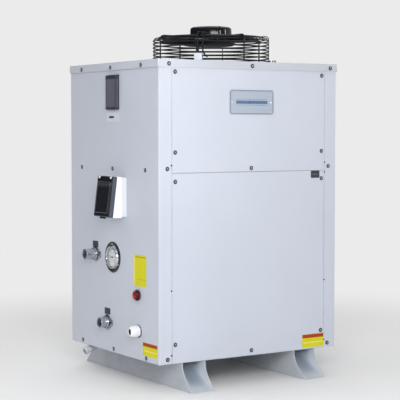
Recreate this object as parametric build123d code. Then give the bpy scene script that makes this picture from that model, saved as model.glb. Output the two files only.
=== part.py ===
from build123d import *
import os
import math

os.makedirs("parts", exist_ok=True)

# ---------------------------------------------------------------- dimensions
# Millimetres. Z = 0 is the ground, X = 0 and Y = 0 the middle of the cabinet.
# The wide front face is at -Y, the narrow service face at -X.
W, D = 750.0, 640.0            # cabinet over the panels
Z_BASE = 95.0                  # underside of the base pan = height of the feet
Z_PANEL = 96.0                 # bottom edge of the panels
Z_TOP = 1125.0                 # top of the lid
LIP = 27.0                     # lid lip
LID_OVER = 3.5                 # lid lip stands proud of the panels
T = 1.5                        # panel sheet
TP = 2.0                       # pan, posts and deck sheet
TF = 3.0                       # feet plate
RET = 51.0                     # side panels wrap this far round each corner
SEAM = 1.7                     # gap between panels
Z_SPLIT = 742.0                # joint of upper and lower panels
DECK_TOP, DECK_FLANGE = 770.0, 35.0

FOOT_X, FOOT_W = 236.0, 94.0   # middle and width of each foot
FOOT_L, FOOT_L_TOP = 764.0, 642.0
SCOOP = 105.0                  # how far the foot ends are dished at the top
ANCHOR_R, ANCHOR_Y = 6.5, 290.0

FAN_X, FAN_Y = 41.0, 0.0       # fan axis
HOLE_R = 200.0                 # fan opening
GUARD_R = 211.0                # side rings of the guard
GUARD_Z = 1226.0               # top wires of the guard
WIRE = 4.0
CAP_R = 77.0                   # motor cap
MOTOR_TOP = 1268.0
HUB_R = 88.0
TIP_R = 196.0

GAUGE_Y, GAUGE_Z = -2.0, 436.0
OUT_Y, OUT_Z = 128.0, 438.0    # hot water outlet socket
IN_Y, IN_Z = 42.0, 198.5       # cold water inlet socket
SOCKET_R, SOCKET_BORE = 20.0, 15.2
LAMP_Y, LAMP_Z = -180.0, 319.0
GLAND_Y, GLAND_Z = -182.0, 194.0
WIN_Y0, WIN_Y1, WIN_Z0, WIN_Z1, WIN_OUT = -51.0, 31.0, 958.5, 1081.5, 11.0
BOX_Y0, BOX_Y1, BOX_Z0, BOX_Z1 = -103.0, 7.0, 582.0, 725.0


# ---------------------------------------------------------------- helpers
def bx(x0, x1, y0, y1, z0, z1):
    return Pos((x0 + x1) / 2, (y0 + y1) / 2, (z0 + z1) / 2) * Box(x1 - x0, y1 - y0, z1 - z0)


def cz(x, y, z0, z1, r):
    return Pos(x, y, (z0 + z1) / 2) * Cylinder(r, z1 - z0)


def cx(y, z, x0, x1, r):
    return Pos((x0 + x1) / 2, y, z) * Rot(0, 90, 0) * Cylinder(r, abs(x1 - x0))


def cy(x, z, y0, y1, r):
    return Pos(x, (y0 + y1) / 2, z) * Rot(90, 0, 0) * Cylinder(r, abs(y1 - y0))


def shell(w, d, t, z0, z1, r_out, r_in):
    a = extrude(Pos(0, 0, z0) * RectangleRounded(w, d, r_out), z1 - z0)
    b = extrude(Pos(0, 0, z0) * RectangleRounded(w - 2 * t, d - 2 * t, r_in), z1 - z0)
    return a - b


def turned(pts, axis_y, axis_z):
    # a body turned about a line along X: pts are (x, radius) pairs
    line = Polyline([(x, 0, r) for x, r in pts], close=True)
    prof = make_face(line)
    return Pos(0, axis_y, axis_z) * revolve(prof, axis=Axis.X)


def turned_z(pts, x, y):
    # a body turned about a vertical line: pts are (radius, z) pairs
    line = Polyline([(r, 0, z) for r, z in pts], close=True)
    prof = make_face(line)
    return Pos(x, y, 0) * revolve(prof, axis=Axis.Z)


parts = {}


# ---------------------------------------------------------------- feet
def foot_profile(inset):
    # side view of a foot, in Y-Z: upright at the top, swept out at the toes
    h = Z_BASE
    yt, yb = FOOT_L_TOP / 2 - inset, FOOT_L / 2 - inset * 1.3
    z_up = h * 0.85
    pts = [(-yb, 0), (yb, 0)]
    n = 8
    for i in range(1, n + 1):
        s = i / n
        pts.append((yb - (yb - yt) * (1 - (1 - s) ** 1.5), z_up * s))
    pts.append((yt, h))
    left = [(-y, z) for y, z in reversed(pts[2:])]
    return pts + left


def prism_yz(pts, x0, x1):
    face = make_face(Polyline([(x0, y, z) for y, z in pts], close=True))
    return extrude(face, x1 - x0, dir=(1, 0, 0))


def foot(xc):
    x0, x1 = xc - FOOT_W / 2, xc + FOOT_W / 2
    solid = prism_yz(foot_profile(0), x0, x1)
    inner = [(y, max(z, TF)) for y, z in foot_profile(TF)]
    core = prism_yz(inner, x0 + TF, x1 - TF)
    f = solid - core
    # the ends dish inwards between the two side plates
    for s in (-1, 1):
        dish = prism_yz([(s * (FOOT_L_TOP / 2 + 60), TF), (s * (FOOT_L / 2 - 5), TF)]
                        + [(s * (FOOT_L / 2 - 5 - SCOOP * (1 - (1 - k / 8) ** 2.0)), TF + (Z_BASE - TF) * k / 8) for k in range(1, 9)]
                        + [(s * (FOOT_L_TOP / 2 + 60), Z_BASE)], x0 + TF, x1 - TF)
        f -= dish
        plate_pts = [(s * (FOOT_L / 2 - 5 - SCOOP * (1 - (1 - k / 8) ** 2.0)), TF + (Z_BASE - TF) * k / 8) for k in range(0, 9)]
        back = [(y - s * TF, z) for y, z in reversed(plate_pts)]
        f += prism_yz(plate_pts + back, x0 + TF, x1 - TF)
    # turned-in flanges that bolt to the pan
    f += bx(x0 + TF, x0 + 24, -245, 245, Z_BASE - TF, Z_BASE)
    f += bx(x1 - 24, x1 - TF, -245, 245, Z_BASE - TF, Z_BASE)
    for y in (-ANCHOR_Y, ANCHOR_Y):
        f -= cz(xc, y, -1, TF + 1, ANCHOR_R)
    return f


parts["foot_left"] = foot(-FOOT_X)
parts["foot_right"] = foot(FOOT_X)

# ---------------------------------------------------------------- base pan, posts, deck
DRAIN_X, DRAIN_Y, DRAIN_R = -343.0, 205.0, 13.0
IW, ID = W - 2 * T, D - 2 * T
pan = extrude(Pos(0, 0, Z_BASE) * RectangleRounded(IW, ID, 2.0), TP)
pan += shell(IW, ID, TP, Z_BASE, Z_BASE + 30, 2.0, 0.5)
pan -= cz(DRAIN_X, DRAIN_Y, Z_BASE - 1, Z_BASE + TP + 1, DRAIN_R - 3)
parts["base_pan"] = pan

ring = shell(IW, ID, TP, Z_BASE + 30, Z_TOP - T, 2.0, 0.5)
POST_X, POST_Y = 298.0, 278.0
for name, sx, sy in (("post_front_left", -1, -1), ("post_front_right", 1, -1),
                     ("post_back_left", -1, 1), ("post_back_right", 1, 1)):
    a = bx(*sorted((sx * POST_X, sx * 400)), *sorted((sy * 300, sy * 400)), 0, 1300)
    b = bx(*sorted((sx * 350, sx * 400)), *sorted((sy * POST_Y, sy * 400)), 0, 1300)
    parts[name] = ring & (a + b)

deck = extrude(Pos(0, 0, DECK_TOP - TP) * RectangleRounded(IW - 2 * TP, ID - 2 * TP, 1.2), TP)
fl = shell(IW, ID, TP, DECK_TOP - DECK_FLANGE, DECK_TOP, 2.0, 0.5)
deck += fl & bx(-POST_X, POST_X, -400, 400, 0, 1300)
deck += fl & bx(-400, 400, -POST_Y, POST_Y, 0, 1300)
parts["middle_deck"] = deck

# ---------------------------------------------------------------- panels
skin = shell(W, D, T, Z_PANEL, Z_TOP - T, 3.0, 1.5)
left = skin & bx(-400, -W / 2 + RET, -400, 400, 0, 1300)
left -= bx(-380, -370, WIN_Y0 + 8, WIN_Y1 - 8, WIN_Z0 + 10, WIN_Z1 - 10)
left -= cx(GAUGE_Y, GAUGE_Z, -380, -370, 36)
left -= cx(OUT_Y, OUT_Z, -380, -370, 21)
left -= cx(IN_Y, IN_Z, -380, -370, 21)
left -= cx(LAMP_Y, LAMP_Z, -380, -370, 11)
left -= cx(GLAND_Y, GLAND_Z, -380, -370, 16)
parts["left_panel"] = left

COIL_Z0, COIL_Z1 = 790.0, 1076.0
right = skin & bx(W / 2 - RET, 400, -400, 400, 0, 1300)
right -= bx(370, 380, -262, 262, COIL_Z0, COIL_Z1)
parts["right_panel"] = right

px = W / 2 - RET - SEAM
parts["front_lower_panel"] = bx(-px, px, -D / 2, -D / 2 + T, Z_PANEL, Z_SPLIT - SEAM / 2)
parts["front_upper_panel"] = bx(-px, px, -D / 2, -D / 2 + T, Z_SPLIT + SEAM / 2, Z_TOP - T)
parts["back_lower_panel"] = bx(-px, px, D / 2 - T, D / 2, Z_PANEL, Z_SPLIT - SEAM / 2)
back = bx(-px, px, D / 2 - T, D / 2, Z_SPLIT + SEAM / 2, Z_TOP - T)
back -= bx(-290, 290, 300, 330, COIL_Z0, COIL_Z1)
parts["back_upper_panel"] = back

# ---------------------------------------------------------------- coil
parts["coil_back"] = bx(-345, 300, 272, 308, DECK_TOP, 1104)
parts["coil_right"] = bx(325, 361, -290, 262, DECK_TOP, 1104)


def grid_x(x0, x1, z0, z1, y0, y1, nx, nz, w=3.0):
    g = bx(x0, x1, y0, y1, z0, z0 + 2 * w) + bx(x0, x1, y0, y1, z1 - 2 * w, z1)
    g += bx(x0, x0 + 2 * w, y0, y1, z0, z1) + bx(x1 - 2 * w, x1, y0, y1, z0, z1)
    for i in range(1, nx):
        x = x0 + (x1 - x0) * i / nx
        g += bx(x - w / 2, x + w / 2, y0, y1, z0, z1)
    for i in range(1, nz):
        z = z0 + (z1 - z0) * i / nz
        g += bx(x0, x1, y0, y1, z - w / 2, z + w / 2)
    return g


gb = grid_x(-297, 297, COIL_Z0 - 7, COIL_Z1 + 7, D / 2 - T - 4, D / 2 - T, 15, 7)
parts["coil_guard_back"] = gb
gr = grid_x(-269, 269, COIL_Z0 - 7, COIL_Z1 + 7, -4, 0, 14, 7)
parts["coil_guard_right"] = Pos(W / 2 - T, 0, 0) * Rot(0, 0, -90) * gr

# ---------------------------------------------------------------- lid and fan
LW, LD = W + 2 * LID_OVER, D + 2 * LID_OVER
lid = extrude(Pos(0, 0, Z_TOP - T) * RectangleRounded(LW, LD, 3.5), T)
lid += shell(LW, LD, T, Z_TOP - LIP, Z_TOP, 3.5, 2.0)
lid -= cz(FAN_X, FAN_Y, Z_TOP - 10, Z_TOP + 10, HOLE_R)
lid += turned_z([(HOLE_R, Z_TOP - T), (HOLE_R + 2.5, Z_TOP - T), (HOLE_R + 2.5, Z_TOP + 4), (HOLE_R, Z_TOP + 4)], FAN_X, FAN_Y)
parts["top_cover"] = lid

# intake ring hung under the lid, with a flared mouth
parts["fan_ring"] = turned_z([(HOLE_R + 0.5, Z_TOP - T), (HOLE_R + 22, Z_TOP - T), (HOLE_R + 22, Z_TOP - T - 2), (HOLE_R + 2.5, Z_TOP - T - 2),
                              (HOLE_R + 2.5, 1098), (HOLE_R + 5, 1090), (HOLE_R + 13, 1084), (HOLE_R + 13, 1082),
                              (HOLE_R + 4, 1087.5), (HOLE_R + 0.5, 1097)], FAN_X, FAN_Y)


def guard():
    h = WIRE / 2
    out = None
    rings = [(GUARD_R, z) for z in (1137.7, 1150.3, 1163, 1176, 1189.3, 1202.6, 1214.5)]
    rings += [(GUARD_R - 5, 1221.5)]
    rings += [(r, GUARD_Z) for r in (194, 182, 170, 158, 146, 134, 122, 110, 98, 86)]
    for r, z in rings:
        t = turned_z([(r - h, z - h), (r + h, z - h), (r + h, z + h), (r - h, z + h)], 0, 0)
        out = t if out is None else out + t
    # ribs, outside the rings, over the top to the motor plate
    ro, ri = GUARD_R + 4, GUARD_R + 0.5
    prof = [(ro, Z_TOP), (ro, 1218), (ro - 10, 1229), (60, 1229), (60, 1226), (ro - 11, 1226), (ri, 1216.5), (ri, Z_TOP)]
    for k in range(8):
        g = 3.0 if k % 2 == 0 else h
        face = make_face(Polyline([(r, -g, z) for r, z in prof], close=True))
        out += Rot(0, 0, 45 * k) * extrude(face, 2 * g, dir=(0, 1, 0))
    plate = turned_z([(60, 1226), (82, 1226), (82, 1229), (60, 1229)], 0, 0)
    out += plate
    # four feet on the diagonals, screwed to the lid
    for k in range(4):
        out += Rot(0, 0, 45 + 90 * k) * bx(GUARD_R - 4, 246, -14, 14, Z_TOP, Z_TOP + 3)
    return Pos(FAN_X, FAN_Y, 0) * out


parts["fan_guard"] = guard()

# motor: cap and stator on the guard's plate, with the bore that carries the rotor
cap = turned_z([(10, 1224), (58, 1224), (58, 1229), (CAP_R - 4, 1229), (CAP_R - 1, 1231), (CAP_R - 0.5, 1236), (CAP_R - 1.5, 1258), (CAP_R - 3, 1262), (CAP_R - 7, 1264.5),
                (CAP_R - 20, 1266.2), (0, MOTOR_TOP), (0, 1252), (10, 1252)], FAN_X, FAN_Y)
parts["fan_motor"] = cap

# rotor: hub, shaft and five blades
hub = turned_z([(0, 1196), (74, 1196), (HUB_R - 5, 1197.5), (HUB_R, 1201), (HUB_R - 1, 1205), (HUB_R - 12, 1218.5), (9.7, 1218.5), (9.7, 1248), (0, 1248)], 0, 0)


def blade():
    secs = []
    for r, chord, pitch, lead in ((HUB_R - 6, 74, 12, 0), (140, 96, 9.5, 8), (TIP_R - 3, 112, 6.5, 20)):
        a = math.radians(pitch)
        th = 2.6
        pl = Plane(origin=(r, lead, 1210.5), x_dir=(0, math.cos(a), math.sin(a)), z_dir=(1, 0, 0))
        secs.append(pl * Rectangle(chord, th))
    return loft(secs)


rot = hub
b0 = blade()
for k in range(5):
    rot += Rot(0, 0, 72 * k + 10) * b0
rot = rot & cz(0, 0, 1100, 1300, TIP_R)
parts["fan_rotor"] = Pos(FAN_X, FAN_Y, 0) * rot

# terminal block on the lid, on the near diagonal, and the motor cable
u = (-math.sqrt(0.5), -math.sqrt(0.5))
blk = bx(216.0, 241.0, -10.0, 18.0, Z_TOP + 3, Z_TOP + 34)
blk = fillet(blk.edges().filter_by(Axis.Z), 3)
blk = chamfer(blk.faces().sort_by(Axis.Z)[-1].edges(), 1.5)
parts["junction_block"] = Pos(FAN_X, FAN_Y, 0) * Rot(0, 0, 225) * blk

# ---------------------------------------------------------------- left face
X0 = -W / 2
# display: a dark seat on the panel, the controller in it, and a raised smoked cover
yc = (WIN_Y0 + WIN_Y1) / 2
seat = bx(X0 - 2, X0, WIN_Y0, WIN_Y1, WIN_Z0, WIN_Z1) - bx(X0 - 3, X0 + 1, WIN_Y0 + 10, WIN_Y1 - 10, WIN_Z0 + 12, WIN_Z1 - 12)
seat += bx(X0, X0 + 5, WIN_Y0 + 8.4, WIN_Y1 - 8.4, WIN_Z0 + 10.4, WIN_Z1 - 10.4) - bx(X0 - 1, X0 + 6, WIN_Y0 + 10, WIN_Y1 - 10, WIN_Z0 + 12, WIN_Z1 - 12)
parts["window_frame"] = seat
cover = bx(X0 - WIN_OUT, X0 - 2, WIN_Y0 + 1, WIN_Y1 - 1, WIN_Z0 + 1, WIN_Z1 - 1)
cover = fillet(cover.edges().filter_by(Axis.X), 3)
cover = chamfer(cover.faces().sort_by(Axis.X)[0].edges(), 1.6)
cover -= bx(X0 - WIN_OUT + 1.8, X0 + 1, WIN_Y0 + 2.8, WIN_Y1 - 2.8, WIN_Z0 + 2.8, WIN_Z1 - 2.8)
cover += bx(X0 - WIN_OUT - 2, X0 - WIN_OUT + 1, yc - 8, yc + 8, WIN_Z0 + 2, WIN_Z0 + 5.5)
parts["window_cover"] = cover
ctl = bx(X0 - 5, X0 + 22, WIN_Y0 + 12, WIN_Y1 - 12, WIN_Z0 + 14, WIN_Z1 - 14)
ctl -= bx(X0 - 6, X0 - 4, WIN_Y0 + 17, WIN_Y1 - 17, WIN_Z1 - 62, WIN_Z1 - 22)
for k in range(4):
    by = WIN_Y0 + 19 + 13.4 * k
    ctl += fillet(bx(X0 - 6.2, X0 - 5, by, by + 8.5, WIN_Z0 + 24, WIN_Z0 + 31).edges().filter_by(Axis.X), 1.5)
parts["controller"] = ctl

# isolator box: an inset back, a wider front frame cut at a slant, and two hinge ears
DT, DB = 36.6, 54.5            # depth at the top and bottom
BACK_D, BACK_IN = 20.0, 2.5
EARS = (BOX_Y0 + 14.0, BOX_Y1 - 14.0)
bh = BOX_Z1 - BOX_Z0
back_box = bx(X0 - BACK_D, X0, BOX_Y0 + BACK_IN, BOX_Y1 - BACK_IN, BOX_Z0 + BACK_IN, BOX_Z1 - BACK_IN)
back_box = fillet(back_box.edges().filter_by(Axis.X), 3)
front = make_face(Polyline([(X0 - BACK_D, BOX_Y0, BOX_Z0), (X0 - DB, BOX_Y0, BOX_Z0), (X0 - DT, BOX_Y0, BOX_Z1), (X0 - BACK_D, BOX_Y0, BOX_Z1)], close=True))
front = extrude(front, BOX_Y1 - BOX_Y0, dir=(0, 1, 0))
front = fillet(front.edges().filter_by(Axis.X), 2.0)
core = make_face(Polyline([(X0 - 3, BOX_Y0 + 6, BOX_Z0 + 6), (X0 - DB - 5, BOX_Y0 + 6, BOX_Z0 + 6), (X0 - DT - 5, BOX_Y0 + 6, BOX_Z1 - 6), (X0 - 3, BOX_Y0 + 6, BOX_Z1 - 6)], close=True))
body = back_box + front - extrude(core, BOX_Y1 - BOX_Y0 - 12, dir=(0, 1, 0))
TILT = math.atan2(DB - DT, bh)
PIN_X, PIN_Z, PIN_R = -12.0, -4.4, 1.35     # hinge line in cover space


def on_front(shape):
    # from cover space (x out of the box front, z down from its top edge) to the part
    return Pos(X0 - DT, 0, BOX_Z1) * Rot(0, math.degrees(TILT), 0) * shape


for y in EARS:
    body += on_front(bx(PIN_X, 1, y - 4.2, y + 4.2, PIN_Z - 4.4, PIN_Z + 4.4) + cy(PIN_X, PIN_Z, y - 4.2, y + 4.2, 4.4))
    body -= on_front(cy(PIN_X, PIN_Z, y - 6, y + 6, PIN_R + 0.3))
parts["isolator_box"] = body
sw = bx(X0 - 38, X0 - 3, -84, -12, 608, 698)
sw += bx(X0 - 43, X0 - 38, -84, -12, 630, 676)
for k in range(4):
    sw += bx(X0 - 49, X0 - 43, -80.5 + 18 * k, -69.5 + 18 * k, 646, 662)
parts["isolator_switch"] = sw

# its cover: a shallow smoked lid with a hinge band at the top and a latch tab
CD, CH = 19.0, bh
cov = bx(-CD, -0.5, BOX_Y0, BOX_Y1, -CH, 0)
cov = fillet(cov.edges().filter_by(Axis.X), 4.0)
cov = chamfer(cov.faces().sort_by(Axis.X)[0].edges(), 3.0)
cov -= bx(-CD + 2.5, 1, BOX_Y0 + 2.5, BOX_Y1 - 2.5, -CH + 2.5, -14.5)
cov += bx(-CD - 1.6, -CD + 1, BOX_Y0 + 9, BOX_Y1 - 9, -CH + 10, -19)
cov -= bx(PIN_X, 1, BOX_Y0 - 1, BOX_Y1 + 1, PIN_Z, 1) - cy(PIN_X, PIN_Z, BOX_Y0 - 1, BOX_Y1 + 1, 11.0)
for y in EARS:
    cov -= bx(-CD - 1, 1, y - 8, y + 8, -3.2, 1)
    cov -= cx(y, -3.2, -CD - 1, 1, 8.0)
    cov += cy(PIN_X, PIN_Z, y - 8.2, y + 8.2, PIN_R)
tab = fillet(bx(-15, -3, (BOX_Y0 + BOX_Y1) / 2 - 8, (BOX_Y0 + BOX_Y1) / 2 + 14, -CH - 6, -CH + 1).edges().filter_by(Axis.X), 2)
cov += tab
parts["isolator_cover"] = on_front(cov)

# water sockets with two-screw flanges
def socket(y, z, out):
    # hollow body, bored for the thread at the mouth, with a polished collar at the panel
    return turned([(X0 - out, SOCKET_BORE + 1.2), (X0 - out + 1.2, SOCKET_BORE), (X0 - out + 30, SOCKET_BORE), (X0 - out + 30, 12.5), (X0 + 40, 12.5), (X0 + 40, 17),
                   (X0 - 2.4, 17), (X0 - 2.4, 21.0), (X0 - 3.4, 21.8), (X0 - 11, 21.8), (X0 - 12.5, 20.6), (X0 - 13.2, SOCKET_R - 0.6),
                   (X0 - out + 1.2, SOCKET_R - 0.6), (X0 - out, SOCKET_R - 1.8)], y, z)


def flange(y, z):
    f = extrude(Plane.YZ.offset(X0 - 2.4) * (Pos(y, z) * SlotOverall(82, 40)), 2.4)
    f -= cx(y, z, X0 - 5, X0 + 5, 17)
    return f


parts["outlet_socket"] = socket(OUT_Y, OUT_Z, 46.0)
parts["outlet_flange"] = flange(OUT_Y, OUT_Z)
parts["inlet_socket"] = socket(IN_Y, IN_Z, 33.0)
parts["inlet_flange"] = flange(IN_Y, IN_Z)

# pressure gauge
parts["gauge_case"] = turned([(X0 + 28, 0), (X0 + 28, 33), (X0, 33), (X0, 55), (X0 - 2, 55), (X0 - 3, 52), (X0 - 3, 41), (X0 - 8, 39), (X0 - 9, 37), (X0 - 8, 34.5), (X0 - 4, 34), (X0 - 1, 34), (X0 - 1, 0)], GAUGE_Y, GAUGE_Z)
parts["gauge_dial"] = cx(GAUGE_Y, GAUGE_Z, X0 - 2, X0 - 1, 33.8)
parts["gauge_glass"] = cx(GAUGE_Y, GAUGE_Z, X0 - 7, X0 - 5.5, 33.9)
needle = cx(GAUGE_Y, GAUGE_Z, X0 - 4.2, X0 - 2, 3.2) + bx(X0 - 4.0, X0 - 3.2, GAUGE_Y - 7, GAUGE_Y + 27, GAUGE_Z - 0.9, GAUGE_Z + 0.9)
parts["gauge_needle"] = needle

# signal lamp
parts["lamp_bezel"] = turned([(X0 + 18, 0), (X0 + 18, 10.8), (X0, 10.8), (X0, 19), (X0 - 6, 19), (X0 - 7.5, 18.4), (X0 - 8, 17.2), (X0 - 7.2, 16.3), (X0 - 2.5, 16.0), (X0 - 2.5, 0)], LAMP_Y, LAMP_Z)
parts["lamp_lens"] = turned([(X0 - 2.5, 0), (X0 - 2.5, 15.8), (X0 - 12.5, 15.6), (X0 - 15.2, 14.4), (X0 - 17.2, 11.8), (X0 - 18.4, 8), (X0 - 19, 3.5), (X0 - 19.1, 0)], LAMP_Y, LAMP_Z)

# cable gland
parts["cable_gland"] = turned([(X0 - 36, 11), (X0 - 36, 13), (X0 - 34.5, 15.4), (X0 - 31, 17.2), (X0 - 24, 19), (X0 - 10, 20.4), (X0 - 4, 20.6), (X0 - 2, 20.2),
                               (X0 - 2, 15.5), (X0 + 16, 15.5), (X0 + 16, 11)], GLAND_Y, GLAND_Z)
parts["gland_washer"] = turned([(X0 - 2, 15.6), (X0 - 2, 21.8), (X0 - 1, 22.4), (X0, 22.4), (X0, 15.6)], GLAND_Y, GLAND_Z)

# drain stub under the pan: a short bend with an open mouth
def tube(pts, radii, r_out, r_in):
    path = FilletPolyline(*pts, radius=radii)
    out = []
    for r in (r_out, r_in):
        if r <= 0:
            continue
        start = Plane(origin=path @ 0, z_dir=path % 0)
        out.append(sweep(start * Circle(r), path=path))
    return out[0] - out[1] if len(out) > 1 else out[0]


DRAIN_A = math.radians(70)
parts["drain_elbow"] = tube([(DRAIN_X, DRAIN_Y, Z_BASE), (DRAIN_X, DRAIN_Y, Z_BASE - 11.5),
                             (DRAIN_X - 42 * math.sin(DRAIN_A), DRAIN_Y, Z_BASE - 11.5 - 42 * math.cos(DRAIN_A))], [15], DRAIN_R, DRAIN_R - 3)

# motor cable: out of the cap, along a rib, down outside the guard and into the block
ca = math.radians(225.0)


def around(r, along, z):
    # a point beside the near diagonal rib of the guard
    return (FAN_X + r * math.cos(ca) - along * math.sin(ca), FAN_Y + r * math.sin(ca) + along * math.cos(ca), z)


BLOCK_TOP = Z_TOP + 34
lead_a = tube([around(82, 3, 1236), around(150, 2.5, 1233.5), around(224, 1, 1233), around(228, 0, 1212), around(228, 0, BLOCK_TOP + 24)], [100, 10, 60], 3.0, 0)
lead_b = tube([around(82, 11, 1236), around(150, 14, 1233.5), around(221, 18, 1233), around(223, 18, 1205), around(223, 18.5, 1160), around(219, 27, 1150)], [100, 10, 60, 8], 2.8, 0)
exit_block = Pos(FAN_X, FAN_Y, 0) * Rot(0, 0, 225) * fillet(bx(CAP_R - 0.4, 90, -3, 17, 1231, 1242.5).edges().filter_by(Axis.X), 2.5)
boot = turned_z([(0, BLOCK_TOP), (6.5, BLOCK_TOP), (6.5, BLOCK_TOP + 8), (5, BLOCK_TOP + 10), (4.4, BLOCK_TOP + 24), (0, BLOCK_TOP + 24)], 0, 0)
bp = around(228, 0, 0)
parts["motor_cable"] = exit_block + lead_a + lead_b + Pos(bp[0], bp[1], 0) * boot - turned_z([(0, 1225), (CAP_R, 1225), (CAP_R, 1270), (0, 1270)], FAN_X, FAN_Y)

# plain plate with a raised border
pl = extrude(Plane.XZ.offset(D / 2) * (Pos(3, 984) * RectangleRounded(184, 84, 9)), 2.0)
pl -= extrude(Plane.XZ.offset(D / 2 + 1.0) * (Pos(3, 984) * RectangleRounded(176, 76, 6)), 2.0)
parts["name_plate"] = pl

for name, shape in parts.items():
    s = Compound(list(shape)) if isinstance(shape, (list, tuple)) else shape
    n = len(s.solids())
    print(f"{name:22s} solids {n}  volume {s.volume/1000:.1f} cm3")
    export_step(s, f"parts/{name}.step")
print(len(parts), "nodes")
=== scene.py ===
import bpy
import bmesh
import math
import random
from mathutils import Matrix, Vector


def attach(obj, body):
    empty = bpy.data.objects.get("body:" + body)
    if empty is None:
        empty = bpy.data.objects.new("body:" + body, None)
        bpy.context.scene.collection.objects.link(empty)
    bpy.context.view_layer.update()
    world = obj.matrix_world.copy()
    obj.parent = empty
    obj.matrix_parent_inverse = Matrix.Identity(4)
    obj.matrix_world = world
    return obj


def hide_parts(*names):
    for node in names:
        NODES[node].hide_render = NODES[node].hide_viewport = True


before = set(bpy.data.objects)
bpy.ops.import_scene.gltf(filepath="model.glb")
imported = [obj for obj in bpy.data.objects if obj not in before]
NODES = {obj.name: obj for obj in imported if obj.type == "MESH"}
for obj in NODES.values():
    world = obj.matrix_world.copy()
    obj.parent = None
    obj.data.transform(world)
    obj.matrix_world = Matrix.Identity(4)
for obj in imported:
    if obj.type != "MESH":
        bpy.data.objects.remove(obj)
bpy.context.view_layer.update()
random.seed(7)

# ------------------------------------------------------------------ camera
cam_data = bpy.data.cameras.new("camera")
cam = bpy.data.objects.new("camera", cam_data)
bpy.context.scene.collection.objects.link(cam)
cam.location = (-2.622, -4.096, 0.891)
cam.rotation_euler = (math.radians(86.91), 0.0, math.radians(-32.56))
cam_data.sensor_width = 36.0
cam_data.lens = 118.35
cam_data.clip_start = 0.05
cam_data.clip_end = 200.0
bpy.context.scene.camera = cam

# ------------------------------------------------------------------ key sizes, in metres
X0 = -0.375                 # service face
YF = -0.320                 # front face
Z_TOP = 1.125
LIP = 0.0035
MM = 0.001
FAN = (0.041, 0.0)
GUARD_R = 0.211


# ------------------------------------------------------------------ node materials
def new_mat(name):
    m = bpy.data.materials.new(name)
    m.use_nodes = True
    nt = m.node_tree
    for n in list(nt.nodes):
        nt.nodes.remove(n)
    out = nt.nodes.new("ShaderNodeOutputMaterial")
    bsdf = nt.nodes.new("ShaderNodeBsdfPrincipled")
    nt.links.new(bsdf.outputs[0], out.inputs[0])
    return m, nt, bsdf


def coords(nt, scale=(1, 1, 1), rot=(0, 0, 0)):
    tc = nt.nodes.new("ShaderNodeTexCoord")
    mp = nt.nodes.new("ShaderNodeMapping")
    mp.inputs["Scale"].default_value = scale
    mp.inputs["Rotation"].default_value = rot
    nt.links.new(tc.outputs["Object"], mp.inputs["Vector"])
    return mp.outputs["Vector"]


def noise_tex(nt, vec, scale, detail=3.0, rough=0.55, dist=0.0):
    n = nt.nodes.new("ShaderNodeTexNoise")
    n.inputs["Scale"].default_value = scale
    n.inputs["Detail"].default_value = detail
    n.inputs["Roughness"].default_value = rough
    n.inputs["Distortion"].default_value = dist
    nt.links.new(vec, n.inputs["Vector"])
    return n.outputs["Fac"]


def ramp(nt, fac, stops):
    r = nt.nodes.new("ShaderNodeValToRGB")
    el = r.color_ramp.elements
    while len(el) < len(stops):
        el.new(0.5)
    for e, (p, c) in zip(el, stops):
        e.position = p
        e.color = (c[0], c[1], c[2], 1.0) if hasattr(c, "__len__") else (c, c, c, 1.0)
    nt.links.new(fac, r.inputs["Fac"])
    return r.outputs["Color"]


def map_range(nt, fac, a, b, c, d, smooth=False):
    r = nt.nodes.new("ShaderNodeMapRange")
    if smooth:
        r.interpolation_type = "SMOOTHSTEP"
    for k, v in zip(("From Min", "From Max", "To Min", "To Max"), (a, b, c, d)):
        r.inputs[k].default_value = v
    nt.links.new(fac, r.inputs["Value"])
    return r.outputs["Result"]


def math_node(nt, op, a, b=None, clamp=False):
    n = nt.nodes.new("ShaderNodeMath")
    n.operation = op
    n.use_clamp = clamp
    for i, v in enumerate((a, b)):
        if v is None:
            continue
        if isinstance(v, (int, float)):
            n.inputs[i].default_value = v
        else:
            nt.links.new(v, n.inputs[i])
    return n.outputs[0]


def mix_col(nt, fac, a, b, mode="MIX"):
    n = nt.nodes.new("ShaderNodeMix")
    n.data_type = "RGBA"
    n.blend_type = mode
    for sock, v in ((n.inputs[0], fac), (n.inputs[6], a), (n.inputs[7], b)):
        if isinstance(v, (int, float)):
            sock.default_value = v
        elif isinstance(v, (tuple, list)):
            sock.default_value = (v[0], v[1], v[2], 1.0)
        else:
            nt.links.new(v, sock)
    return n.outputs[2]


def bump(nt, height, strength, distance, normal=None):
    b = nt.nodes.new("ShaderNodeBump")
    b.inputs["Strength"].default_value = strength
    b.inputs["Distance"].default_value = distance
    nt.links.new(height, b.inputs["Height"])
    if normal is not None:
        nt.links.new(normal, b.inputs["Normal"])
    return b.outputs["Normal"]


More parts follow.
